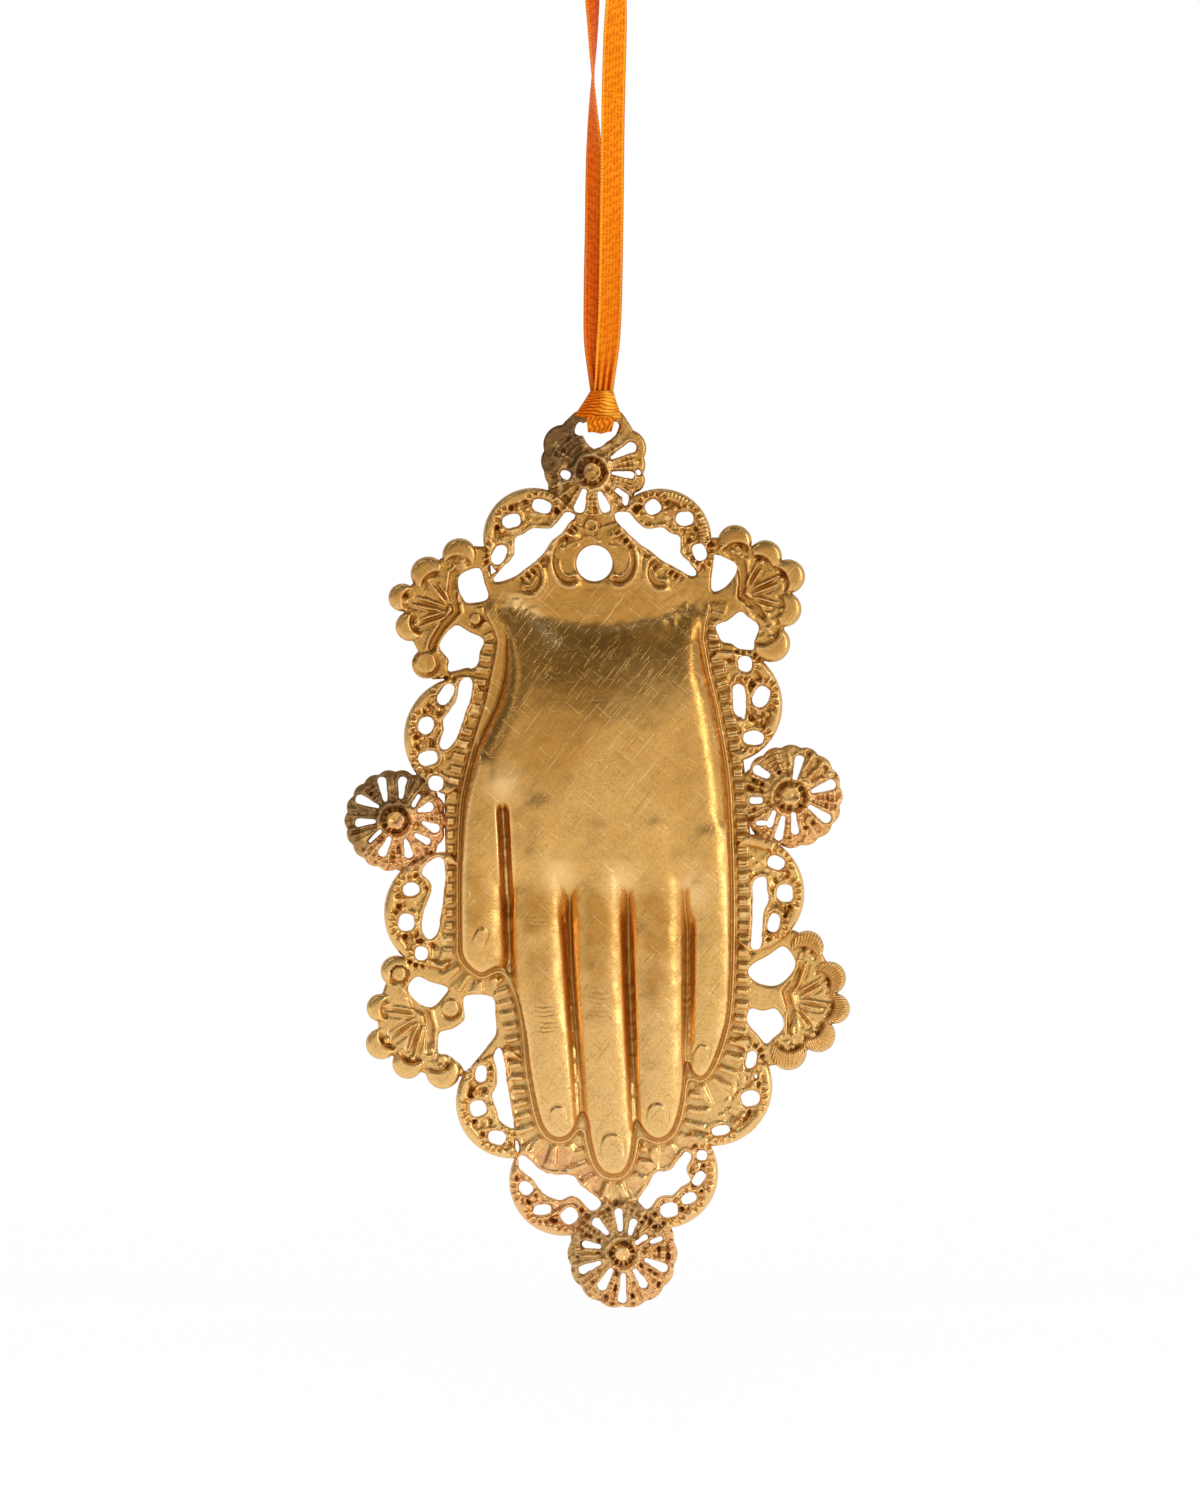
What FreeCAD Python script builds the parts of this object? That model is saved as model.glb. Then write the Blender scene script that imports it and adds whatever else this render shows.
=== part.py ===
import FreeCAD, Part
import math
import os
from FreeCAD import Vector

# Hamsa hand ornament: one stamped and pierced brass plaque, hung on a narrow satin ribbon that is
# tied to the plaque's top rosette with a lark's head and closed above by an overhand knot.
#
# Millimetres, +Z up. The picture side faces -Y. The origin is the place of the hook in the ribbon's
# loop, just under the knot. Places on the plaque are written (x, z) from the centre of its top
# rosette, x to the viewer's right, and the heights of its relief are counted from its back plane.

# ---------------------------------------------------------------- driving dimensions
ROSETTE_X, ROSETTE_Z = -1.6, -76.5    # top rosette's centre, from the hook
SHEET = 0.8                           # border thickness
BACK_Y = SHEET / 2                    # the plaque's back plane, so that the hinge line is at Y = 0
WALL = 0.7                            # wall of the stamped hand
HAND_HEIGHT = 5.1                     # crown of the hand over the back plane
FINGER_LIFT = 1.1                     # straight flank of a finger under its half-round top
STEP_WIDTH, STEP_HEIGHT = 0.6, 1.4    # plain ledge round the hand
BAND_WIDTH = 3.1                      # ribbed band round the hand
RIB_PITCH, RIB_WIDTH, RIB_HEIGHT = 1.65, 1.0, 0.5
NAIL_HOLE_X, NAIL_HOLE_Z, NAIL_HOLE_R = 0.3, -11.7, 2.3
BAR_X, BAR_Z = 1.1, 7.2               # middle of the rim bar that the ribbon is tied round
BAR_HALF = 0.75                       # half the bar's height
DRILL_LOW, DRILL_HIGH = -1.0, 4.0     # reach of the piercing tools behind and before the sheet
SAW_CUTS = 7                          # straight cuts round a small sawn hole
CHORD_TURN = 20.0                     # degrees of arc in each straight chord of a raised rim
SUNK = 0.1                            # how far the foot of a struck form lies in the sheet
RIBBON_WIDTH, RIBBON_THICK = 3.0, 0.3
HITCH_BORE = 0.95                     # clear radius of the ribbon round the bar
HITCH_TOP = 10.4                      # over the rosette's centre
HITCH_FRONT, HITCH_REAR = 1.75, 1.3   # how far its folds stand before and behind the bar's middle
SLEEVE_R, BIGHT = 1.35, 0.9           # ribbon round the bar, and how far its neck hangs below
HOOK_R = 2.05                         # middle of the ribbon, from the hook's axis
KNOT_LOW, KNOT_HIGH, KNOT_R = 4.3, 8.2, 2.4
KNOT_SIDES = 14

VIEW = Vector(0, -1, 0)               # towards the viewer


# ---------------------------------------------------------------- small helpers
def at(x, z, height=0.0):
    """A point over the place (x, z), the given height in front of the back plane."""
    return Vector(x, BACK_Y - height, z)


def polar(centre, radius, degrees):
    """The place at a radius and an angle, counted from +x towards +z."""
    turn = math.radians(degrees)
    return (centre[0] + radius * math.cos(turn), centre[1] + radius * math.sin(turn))


def face_of(*edges):
    return Part.Face(Part.Wire(list(edges)))


def disc(centre, radius):
    return face_of(Part.Circle(at(*centre), VIEW, radius).toShape())


def oval(x, z, width, height, tilt=0.0):
    """A small sawn hole: an oval of straight cuts, its width along x turned by tilt degrees."""
    turn = math.radians(tilt)
    points = []
    for i in range(SAW_CUTS):
        u = width / 2 * math.cos(2 * math.pi * (i + 0.5) / SAW_CUTS)
        v = height / 2 * math.sin(2 * math.pi * (i + 0.5) / SAW_CUTS)
        points.append((x + u * math.cos(turn) - v * math.sin(turn),
                       z + u * math.sin(turn) + v * math.cos(turn)))
    return polygon(*points)


def polygon(*points):
    """A flat outline through its corners, facing the viewer whichever way they run."""
    area = sum(a[0] * b[1] - b[0] * a[1] for a, b in zip(points, points[1:] + points[:1]))
    corners = [at(*p) for p in (points if area > 0 else points[::-1])]
    return Part.Face(Part.makePolygon(corners + corners[:1]))


def keyhole(centre, turn, inner, outer, narrow, wide):
    """A sawn slot along a radius: narrow at its inner end, wide and blunt at its outer end."""
    along, side = polar((0, 0), 1.0, turn), polar((0, 0), 1.0, turn + 90)
    shape = ((inner, -narrow / 2), (outer - wide / 2, -wide / 2), (outer, 0),
             (outer - wide / 2, wide / 2), (inner, narrow / 2))
    return polygon(*[(centre[0] + u * along[0] + v * side[0], centre[1] + u * along[1] + v * side[1])
                     for u, v in shape])


def merged(shapes):
    return shapes[0].multiFuse(shapes[1:]).removeSplitter()


def raised(face, height, low=0.0):
    """A face made into a plate from the height low to the given height."""
    plate = face.extrude(VIEW * (height - low))
    plate.translate(VIEW * low)
    return plate


def facets(rings, closed=False):
    """A flat-sided solid through a row of like polygons, which come round to the first if closed."""
    faces = []
    for low, high in zip(rings, rings[1:] + rings[:1] if closed else rings[1:]):
        sides = zip(low, low[1:] + low[:1], high[1:] + high[:1], high)
        for i, (p, q, r, s) in enumerate(sides):
            if abs((q - p).cross(s - p).dot(r - p)) < 1e-6:
                pieces = ([p, q, r, s],)
            elif 2 * i < len(low):
                pieces = ([p, q, s], [q, r, s])
            else:                         # so that a thin strap's two sides fold along the same line
                pieces = ([p, q, r], [p, r, s])
            faces += [Part.Face(Part.makePolygon(piece + piece[:1])) for piece in pieces]
    if not closed:
        faces += [Part.Face(Part.makePolygon(ring + ring[:1])) for ring in (rings[0], rings[-1])]
    solid = Part.Solid(Part.Shell(faces))
    if solid.Volume < 0:
        solid.reverse()
    return solid


def ridge(centre, radius, width, height, start, end):
    """A raised rib with a roof section on the border sheet, in short chords along an arc."""
    chords = max(4, round((end - start) / CHORD_TURN))
    rings = []
    for i in range(chords + 1):
        turn = start + (end - start) * i / chords
        rings.append([at(*polar(centre, size, turn), level) for size, level in (
            (radius - width / 2, SHEET - SUNK), (radius, height), (radius + width / 2, SHEET - SUNK))])
    whole = end - start == 360
    return facets(rings[:-1] if whole else rings, whole)


def flute(a, b, half_a, half_b):
    """A petal or shell flute: a sharp ridge that widens and rises from a to b."""
    along = (at(*b) - at(*a)).normalize()
    side = along.cross(VIEW)
    rings = []
    for place, half in ((a, half_a), (b, half_b)):
        foot = at(*place, SHEET - SUNK)
        rings.append([foot - side * half, foot + VIEW * (half * 0.95), foot + side * half])
    return facets(rings)


def bead(centre, radius, height):
    """A low faceted button on the border sheet."""
    rings = [
        [at(*polar(centre, size, 360.0 * (i + 0.5) / SAW_CUTS), level) for i in range(SAW_CUTS)]
        for size, level in ((radius, SHEET - SUNK), (radius * 0.55, height))
    ]
    return facets(rings)


# ---------------------------------------------------------------- hand
# Each finger: knuckle's middle, half its width there, tip's centre, tip's radius
FINGERS = {
    "thumb": ((-13.7, -39.0), 3.0, (-14.4, -61.5), 2.6),
    "index": ((-7.2, -52.0), 3.35, (-4.4, -83.1), 2.7),
    "middle": ((0.7, -52.0), 3.25, (2.7, -87.8), 2.55),
    "ring": ((8.4, -52.0), 3.35, (8.6, -82.9), 2.65),
    "little": ((15.4, -52.0), 3.1, (14.3, -75.8), 1.95),
}
# The back of the hand: outline from the wrist's left end, down the thumb's side and up the other
PALM = (
    (-11.2, -16.6), (-11.4, -23.0), (-12.8, -29.5), (-15.6, -35.5), (-16.7, -40.5), (-12.9, -46.0),
    (-10.2, -59.0), (18.4, -59.0), (18.5, -49.0), (17.8, -38.0), (16.4, -28.5), (14.4, -21.5), (12.4, -16.6),
)
SHOULDER = 2.3                        # radius of the palm's edge
KNUCKLE_DROP = 0.8                    # fall of the palm's front towards the fingers
KNUCKLES_Z = (-46.0, -59.0)           # where that fall begins and ends
# The rise of the wrist from the sheet: z, and height there
WRIST = ((-15.5, 0.9), (-18.0, 1.3), (-20.5, 2.5), (-23.5, 3.8), (-27.0, 4.7), (-31.0, HAND_HEIGHT))


def finger(knuckle, half_k, tip, half_t):
    """A finger: flat flanks, a round tapered top and a round tip."""
    start, end = at(*knuckle, FINGER_LIFT), at(*tip, FINGER_LIFT)
    along = (end - start).normalize()
    side = along.cross(VIEW)
    corners = [start + side * half_k, end + side * half_t, end - side * half_t, start - side * half_k]
    top = Part.Face(Part.makePolygon([start] + corners[:2] + [end, start])).revolve(start, along, 360)
    flanks = Part.Face(Part.makePolygon(corners + corners[:1])).extrude(VIEW * -FINGER_LIFT)
    ball = Part.makeSphere(half_t, end)
    post = Part.makeCylinder(half_t, FINGER_LIFT, end, VIEW * -1)
    behind = Part.makeBox(20, 20, 60, at(tip[0] - 10, tip[1] - 10))
    return merged([top, flanks, ball, post]).cut(behind)


def channel(knuckle, half_k, tip, half_t):
    """The hollow behind a finger: flat-sided, and a little short of the tip."""
    along = (at(*tip) - at(*knuckle)).normalize()
    side = along.cross(VIEW)
    rings = []
    for place, half in ((at(*knuckle), half_k - WALL), (at(*tip), half_t - WALL)):
        if rings:
            place += along * (half / 2)
        shape = ((-half, DRILL_LOW), (-half, FINGER_LIFT), (-half / 2, FINGER_LIFT + half * 0.866),
                 (half / 2, FINGER_LIFT + half * 0.866), (half, FINGER_LIFT), (half, DRILL_LOW))
        rings.append([place + side * u + VIEW * v for u, v in shape])
    return facets(rings)


def crown(slab):
    """The edges round the front of a slab."""
    front = slab.BoundBox.YMin
    return [e for e in slab.Edges if e.BoundBox.YMax < front + KNUCKLE_DROP + 1e-3]


def planed(profile, height):
    """What a plane takes off a slab down to a profile of (z, height) points."""
    over = [(profile[-1][0], height + 1), (profile[0][0], height + 1)]
    corners = [Vector(-30, BACK_Y - level, z) for z, level in list(profile) + over]
    return Part.Face(Part.makePolygon(corners + corners[:1])).extrude(Vector(60, 0, 0))


def knuckle_slope(height):
    """What makes a slab of the given height fall towards the fingers."""
    return planed(((KNUCKLES_Z[0], height), (KNUCKLES_Z[1], height - KNUCKLE_DROP)), height)


def wrist_slope(drop=0.0):
    """What makes the wrist rise from the sheet, lower by the given drop."""
    return planed([(z, level - drop) for z, level in WRIST], HAND_HEIGHT)


def hand():
    """The hand's outside: the round-shouldered palm and the fingers."""
    slab = raised(polygon(*PALM), HAND_HEIGHT).cut(knuckle_slope(HAND_HEIGHT))
    palm = slab.makeFillet(SHOULDER, crown(slab)).cut(wrist_slope())
    return merged([palm] + [finger(*spec) for spec in FINGERS.values()])


def hollow():
    """The room behind the struck hand."""
    slab = raised(polygon(*PALM).makeOffset2D(-WALL), HAND_HEIGHT - WALL, DRILL_LOW)
    slab = slab.cut(knuckle_slope(HAND_HEIGHT - WALL))
    bevel = (SHOULDER - WALL) * 0.6
    room = slab.makeChamfer(bevel, crown(slab)).cut(wrist_slope(WALL + SUNK))
    return merged([room] + [channel(*spec) for spec in FINGERS.values()])


def silhouette():
    """The hand's outline as one flat face."""
    lengths = []
    for knuckle, half_k, tip, half_t in FINGERS.values():
        along = (at(*tip) - at(*knuckle)).normalize()
        side = along.cross(VIEW)
        corners = [at(*knuckle) + side * half_k, at(*tip) + side * half_t,
                   at(*tip) - side * half_t, at(*knuckle) - side * half_k]
        lengths += [polygon(*[(c.x, c.z) for c in corners]), disc(tip, half_t)]
    return merged([polygon(*PALM)] + lengths).Faces[0]


def ribs(outline):
    """The band's ribs, square to the hand's outline at one pitch."""
    path = outline.makeOffset2D(STEP_WIDTH + (BAND_WIDTH - STEP_WIDTH) / 2).OuterWire
    points = path.discretize(Number=int(path.Length / RIB_PITCH) + 1)[:-1]
    length = BAND_WIDTH - STEP_WIDTH - 0.3
    found = []
    for before, here, after in zip(points[-1:] + points[:-1], points, points[1:] + points[:1]):
        if here.z > WRIST_Z:
            continue
        along = (after - before).normalize()
        out = along.cross(VIEW)
        foot, half = here + VIEW * (SHEET - SUNK), along * (RIB_WIDTH / 2)
        start = foot - out * (length / 2)
        section = Part.Face(Part.makePolygon([
            start - half, start + VIEW * (RIB_HEIGHT + SUNK), start + half, start - half,
        ]))
        found.append(section.extrude(out * length))
    return found


# ---------------------------------------------------------------- border
WRIST_Z = -17.5
ROSETTES = (
    # centre, outer radius, first slot's angle, number of slots
    ((0.0, 0.0), 6.1, -90.0, 10),
    ((-25.2, -44.7), 6.3, 12.0, 11),
    ((25.4, -41.4), 6.4, 20.0, 10),
    ((3.9, -100.2), 7.1, -90.0, 11),
)
# Scrolls: centre, radius, start and end of the milled rim in degrees, three round holes
SCROLLS = (
    ((-7.6, -8.5), 6.4, 80, 190, ((-6.7, -4.4, 2.4, 1.7, 15), (-10.4, -6.3, 2.3, 1.7, 35), (-11.9, -10.6, 1.7, 2.6, -15))),
    ((8.7, -8.7), 6.6, -12, 110, ((7.8, -4.5, 1.9, 2.0, 0), (11.9, -6.0, 2.1, 1.8, -30), (13.8, -10.3, 1.7, 2.1, 10))),
    ((-16.3, -34.0), 7.8, 118, 205, ((-18.8, -28.5, 1.5, 2.7, -35), (-21.3, -32.5, 1.8, 2.2, -10), (-21.0, -36.7, 2.4, 1.8, 0))),
    ((-18.9, -56.5), 7.8, 140, 222, ((-23.2, -53.5, 2.1, 1.7, 0), (-23.8, -57.7, 1.9, 2.2, 0), (-21.9, -61.7, 1.6, 1.8, 0))),
    ((-10.3, -80.8), 7.2, 130, 262, ((-14.2, -77.1, 1.5, 2.0, -20), (-14.6, -81.6, 2.0, 2.0, 0), (-12.2, -85.3, 2.0, 1.8, -30))),
    ((-3.6, -90.9), 7.0, 165, 275, ((-8.5, -91.8, 1.8, 1.6, 0), (-6.4, -94.6, 2.4, 1.4, -25), (-2.9, -95.4, 2.0, 2.1, 0))),
    ((9.1, -89.9), 7.1, -88, 20, ((14.0, -87.6, 1.2, 1.3, 0), (13.5, -90.5, 1.3, 1.9, -30), (9.9, -94.6, 2.1, 1.9, 15))),
    ((15.4, -78.7), 7.7, -80, 42, ((20.3, -75.3, 1.5, 2.3, 15), (20.3, -80.3, 2.3, 2.0, 20), (16.5, -84.4, 2.2, 1.3, 10))),
    ((19.6, -54.0), 7.6, -38, 45, ((23.6, -50.1, 2.3, 1.7, -20), (24.7, -54.0, 2.1, 2.2, 0), (23.3, -57.8, 1.6, 2.3, -15))),
    ((16.9, -29.9), 7.6, -35, 50, ((19.6, -24.6, 1.9, 2.0, 0), (21.7, -28.8, 2.0, 2.6, -20), (20.7, -34.1, 2.6, 1.8, 20))),
)
# Shells: focus, radius, first and last flute in degrees, number of flutes, round feet (x, z, radius)
SHELLS = (
    ((-17.6, -18.0), 7.3, 78, 205, 5, ((-20.9, -23.8, 2.2), (-14.8, -18.6, 1.2))),
    ((19.2, -15.9), 7.2, -38, 100, 5, ((23.2, -22.9, 1.9), (16.4, -17.2, 1.2))),
    ((-21.4, -70.3), 7.4, 112, 262, 6, ((-24.9, -64.0, 1.9), (-18.0, -68.7, 1.6), (-18.6, -77.6, 1.8))),
    ((25.4, -67.8), 7.0, -72, 66, 5, ((26.4, -60.6, 1.9), (23.8, -75.2, 1.8), (21.0, -67.3, 1.3))),
)
# Larger piercings between the band and the border's motifs
OPENINGS = (
    ((-2.1, -5.9), (-3.6, -5.3), (-5.4, -7.3), (-8.6, -7.9), (-10.1, -9.6), (-11.0, -11.9),
     (-12.5, -13.7), (-9.9, -13.3), (-6.7, -10.9), (-4.6, -8.2)),
    ((3.0, -5.6), (4.9, -5.5), (6.8, -7.2), (10.0, -7.8), (11.4, -9.6), (12.1, -11.8),
     (13.2, -13.1), (10.7, -12.2), (7.4, -10.2), (4.9, -7.9)),
    ((-14.3, -12.5), (-16.8, -13.2), (-17.0, -14.9), (-15.8, -16.6), (-13.9, -16.2), (-13.5, -14.3)),
    ((-17.4, -19.9), (-14.6, -21.1), (-14.6, -24.3), (-16.4, -25.1), (-18.3, -24.9), (-19.3, -22.1)),
    ((15.9, -10.8), (18.0, -11.5), (18.4, -13.1), (16.9, -14.8), (15.4, -14.5), (15.5, -12.6)),
    ((18.8, -18.2), (20.9, -19.6), (20.6, -22.4), (18.6, -22.5), (16.6, -21.5), (16.4, -19.6)),
    ((-16.1, -26.7), (-17.3, -29.3), (-19.1, -31.8), (-19.6, -34.6), (-18.6, -35.3), (-17.3, -33.4),
     (-16.1, -30.4), (-15.6, -27.6)),
    ((18.9, -27.2), (18.1, -28.6), (18.2, -30.8), (18.9, -31.5), (19.7, -30.2), (19.6, -28.0)),
    ((-19.6, -49.6), (-19.1, -52.1), (-19.3, -57.2), (-20.6, -59.7), (-21.6, -58.2), (-20.9, -54.0),
     (-21.1, -51.4), (-20.6, -50.0)),
    ((22.0, -52.1), (22.7, -54.9), (21.9, -57.5), (21.5, -60.8), (20.6, -60.6), (20.6, -57.0),
     (20.7, -53.5), (21.2, -52.3)),
    ((-22.1, -64.9), (-20.2, -65.3), (-19.1, -66.4), (-19.6, -67.8), (-21.6, -68.3), (-23.1, -66.6)),
    ((-15.9, -67.3), (-13.1, -67.5), (-12.3, -71.2), (-13.6, -73.9), (-16.2, -76.5), (-18.1, -74.8),
     (-19.5, -73.2), (-18.8, -71.6), (-16.7, -70.5), (-15.9, -69.0)),
    ((24.4, -60.9), (25.9, -62.9), (24.6, -65.3), (22.2, -65.6), (20.2, -64.2), (21.8, -62.2)),
    ((20.4, -69.0), (23.3, -69.0), (24.4, -70.8), (22.4, -73.2), (20.6, -71.4), (20.2, -70.2)),
    ((-11.9, -74.1), (-12.5, -76.4), (-12.7, -79.7), (-11.9, -83.0), (-10.2, -83.8), (-10.5, -80.9),
     (-11.3, -76.4), (-11.4, -74.7)),
    ((-8.9, -87.9), (-6.2, -90.0), (-2.4, -90.3), (0.4, -92.8), (0.2, -94.5), (-1.9, -93.0),
     (-5.0, -93.0), (-7.9, -90.9)),
    ((12.1, -87.4), (12.3, -90.6), (9.6, -92.6), (6.8, -94.2), (6.2, -93.2), (7.8, -90.2),
     (10.3, -89.2), (11.3, -88.6)),
)
# Small lone piercings: x, z, width, height, tilt
SPECKS = (
    (-20.0, -39.9, 2.0, 1.8, 0),
    (-9.5, -86.5, 0.6, 1.2, 0),
    (-11.6, -10.6, 0.6, 0.9, 0),
)
# The hole that the ribbon passes through
RIBBON_HOLE = ((-1.9, 6.0), (-1.4, BAR_Z - BAR_HALF), (3.05, BAR_Z - BAR_HALF), (3.05, 5.0), (0.9, 2.9),
               (-0.7, 4.5), (-1.6, 5.1))
# The rim above it, whose straight top is the bar
EYE = ((-4.2, 4.4), (-1.9, BAR_Z + BAR_HALF), (3.6, BAR_Z + BAR_HALF), (4.9, 4.0))
# The plate between the band and the bottom rosette
TONGUE = ((0.4, -89.0), (6.2, -89.0), (5.7, -95.6), (1.3, -95.6))
# The plate between the top rosette and the wrist
PEDIMENT = ((-3.2, -5.0), (-13.6, -14.6), (-13.9, -19.0), (15.4, -19.0), (14.2, -13.6), (4.2, -5.0))
SCROLL_HORNS = ((-2.9, -11.5, 2.6, 60, 300), (3.9, -11.3, 2.6, -120, 120))
SMALL_SCROLLS = ((-7.7, -13.3, 1.5, 150, 400), (8.5, -12.9, 1.5, 140, 390))


def rosette_slots(centre, radius, first, count):
    """The narrow radial piercings between a rosette's petals."""
    turns = [first + 360.0 * i / count for i in range(count)]
    slots = [keyhole(centre, t, 2.6, radius - 1.0, 0.4, 1.3) for t in turns]
    if centre == ROSETTES[0][0]:
        slots = [s for s, t in zip(slots, turns) if math.sin(math.radians(t)) < 0.7]
    return slots


def border_outline(outline):
    """The whole sheet before it is pierced and struck."""
    parts = [outline.makeOffset2D(BAND_WIDTH), polygon(*PEDIMENT), polygon(*TONGUE), polygon(*EYE)]
    for centre, radius, first, count in ROSETTES:
        parts.append(disc(centre, radius - 0.3))
        lobes = [first + 360.0 * (i + 0.5) / count for i in range(count)]
        for turn in lobes:
            if centre != ROSETTES[0][0] or math.sin(math.radians(turn)) < 0.8:
                parts.append(disc(polar(centre, radius - 1.5, turn), 1.9))
    parts += [disc(centre, radius) for centre, radius, _, _, _ in SCROLLS]
    for focus, radius, first, last, count, feet in SHELLS:
        parts.append(disc(focus, radius - 0.9))
        for i in range(count):
            parts.append(disc(polar(focus, radius - 1.3, first + (last - first) * i / (count - 1)), 2.0))
        parts += [disc(foot[:2], foot[2]) for foot in feet]
    return merged(parts).Faces[0]


def piercings():
    """Every hole through the border: for the nail, for the ribbon, and the openwork."""
    holes = [disc((NAIL_HOLE_X, NAIL_HOLE_Z), NAIL_HOLE_R), polygon(*RIBBON_HOLE)]
    holes += [polygon(*points) for points in OPENINGS]
    holes += [oval(*hole) for _, _, _, _, group in SCROLLS for hole in group]
    holes += [oval(*speck) for speck in SPECKS]
    for spec in ROSETTES:
        holes += rosette_slots(*spec)
    return [raised(hole, DRILL_HIGH, DRILL_LOW) for hole in holes]


def border_relief():
    """What is struck up from the border: petals, bosses, flutes, beads and milled rims."""
    found = []
    for centre, radius, first, count in ROSETTES:
        found.append(ridge(centre, 1.9, 0.9, SHEET + 0.9, 0, 360))
        found.append(bead(centre, 1.2, SHEET + 0.8))
        for i in range(count):
            turn = first + 360.0 * (i + 0.5) / count
            if centre != ROSETTES[0][0] or math.sin(math.radians(turn)) < 0.55:
                found.append(flute(polar(centre, 2.5, turn), polar(centre, radius - 0.4, turn), 0.4, 0.95))
    for centre, radius, start, end, _ in SCROLLS:
        found.append(ridge(centre, radius - 0.75, 1.3, SHEET + 0.6, start, end))
    for focus, radius, first, last, count, feet in SHELLS:
        for i in range(count):
            turn = first + (last - first) * i / (count - 1)
            found.append(flute(polar(focus, 2.0, turn), polar(focus, radius - 0.4, turn), 0.45, 1.3))
        found += [bead(foot[:2], foot[2] * 0.8, SHEET + 0.8) for foot in feet]
    for x, z, radius, start, end in SCROLL_HORNS:
        found.append(ridge((x, z), radius, 1.1, SHEET + 0.7, start, end))
    for x, z, radius, start, end in SMALL_SCROLLS:
        found.append(ridge((x, z), radius, 0.9, SHEET + 0.6, start, end))
    found.append(bead((-0.2, -7.0), 0.8, SHEET + 0.6))
    return found


def plaque():
    """The sheet, its relief, its piercings and last the hand, hollow behind."""
    outline = silhouette()
    sheet = raised(border_outline(outline), SHEET)
    step = raised(outline.makeOffset2D(STEP_WIDTH), STEP_HEIGHT).cut(wrist_slope())
    banded = sheet.fuse(step).multiFuse(ribs(outline))
    relief = border_relief()
    struck = banded.fuse(relief[0].multiFuse(relief[1:])).cut(piercings())
    return struck.fuse(hand()).cut(hollow()).removeSplitter().Solids[0]


# ---------------------------------------------------------------- ribbon
# Middle of each strand from the knot down: X, Y, Z, and the turn of its width from the X axis
STRAND_RIGHT = (
    (0.45, 0.0, KNOT_LOW, 90), (1.75, 0.0, 1.6, 90), (HOOK_R, 0.0, 0.0, 90), (2.0, 0.0, -4.0, 80),
    (1.8, -0.1, -10.0, 50), (1.5, -0.25, -16.0, 30), (1.3, -0.5, -22.0, 5), (1.1, -0.6, -29.0, 0),
    (0.4, -0.75, -54.0, 0), (-0.1, -0.8, ROSETTE_Z + HITCH_TOP, 0),
)
STRAND_LEFT = (
    (-0.45, 0.0, KNOT_LOW, 90), (-1.75, 0.0, 1.6, 90), (-HOOK_R, 0.0, 0.0, 90), (-1.95, 0.0, -4.0, 85),
    (-1.75, 0.0, -10.0, 65), (-1.55, 0.0, -16.0, 55), (-1.5, 0.05, -22.0, 75), (-1.55, 0.3, -27.0, 95),
    (-1.4, 1.0, -34.0, 125), (-0.95, 0.6, -41.0, 160), (-1.1, 0.1, -54.0, 180),
    (-0.6, -0.4, ROSETTE_Z + HITCH_TOP, 180),
)


def strap(stations):
    """A flat ribbon through its stations, each a rectangle turned about the upright."""
    rings = []
    for x, y, z, turn in stations:
        across = Vector(math.cos(math.radians(turn)), math.sin(math.radians(turn)), 0)
        through = Vector(-across.y, across.x, 0) * (RIBBON_THICK / 2)
        side, centre = across * (RIBBON_WIDTH / 2), Vector(x, y, z)
        rings.append([centre - side - through, centre + side - through,
                      centre + side + through, centre - side + through])
    return facets(rings)


# The fan of folds that crosses the strands over the bar
FAN = ((-2.45, BAR_Z + 0.05), (4.0, BAR_Z + 0.05), (2.8, HITCH_TOP), (-0.35, HITCH_TOP))


def strand_length(stations):
    """The length of a strand along its stations."""
    points = [Vector(*station[:3]) for station in stations]
    return sum((b - a).Length for a, b in zip(points, points[1:]))


def hitch():
    """The lark's head: a fan of folds over the bar, and a sleeve round it that leaves it room to turn."""
    half = RIBBON_WIDTH / 2 + 0.25
    front, rear = BACK_Y + HITCH_FRONT, BACK_Y - HITCH_REAR

    def block(x_low, x_high, z_low, z_high, height, low):
        return raised(polygon((x_low, z_low), (x_high, z_low), (x_high, z_high), (x_low, z_high)), height, low)

    def rod(radius, reach, drop):
        return Part.makeCylinder(radius, 2 * reach, Vector(BAR_X - reach, 0, BAR_Z - drop), Vector(1, 0, 0))

    fan = raised(polygon(*FAN), front, rear)
    core = fan.common(block(BAR_X - half, BAR_X + half, BAR_Z, HITCH_TOP, front, rear))
    room = block(BAR_X - 2 * half, BAR_X + 2 * half, BAR_Z, BAR_Z + HITCH_BORE, BACK_Y + HITCH_BORE, rear)
    web = block(BAR_X - half, BAR_X + half, BAR_Z - BIGHT, BAR_Z, BACK_Y + SLEEVE_R, BACK_Y - SLEEVE_R)
    tied = merged([fan.cut(room), core, web, rod(SLEEVE_R, half, 0), rod(SLEEVE_R, half, BIGHT)])
    tied = tied.cut(rod(HITCH_BORE, 2 * half, 0))
    tied.translate(Vector(ROSETTE_X, 0, ROSETTE_Z))
    return tied


def knot():
    """The overhand knot above the hook, a many-sided barrel, with the ribbon's two cut tails."""
    rise = KNOT_HIGH - KNOT_LOW
    body = facets([
        [Vector(*polar((0, 0), radius, 360.0 * i / KNOT_SIDES), KNOT_LOW + rise * share)
         for i in range(KNOT_SIDES)]
        for radius, share in ((1.7, 0.0), (KNOT_R, 0.3), (KNOT_R, 0.7), (1.6, 1.0))
    ])
    tails = [
        strap(((side * 0.5, 0.0, KNOT_HIGH - 0.4, 90), (side * 1.3, 0.0, KNOT_HIGH + 2.2, 75),
               (side * 2.6, 0.0, KNOT_HIGH + 7.2, 50)))
        for side in (-1, 1)
    ]
    return merged([body] + tails)


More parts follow.
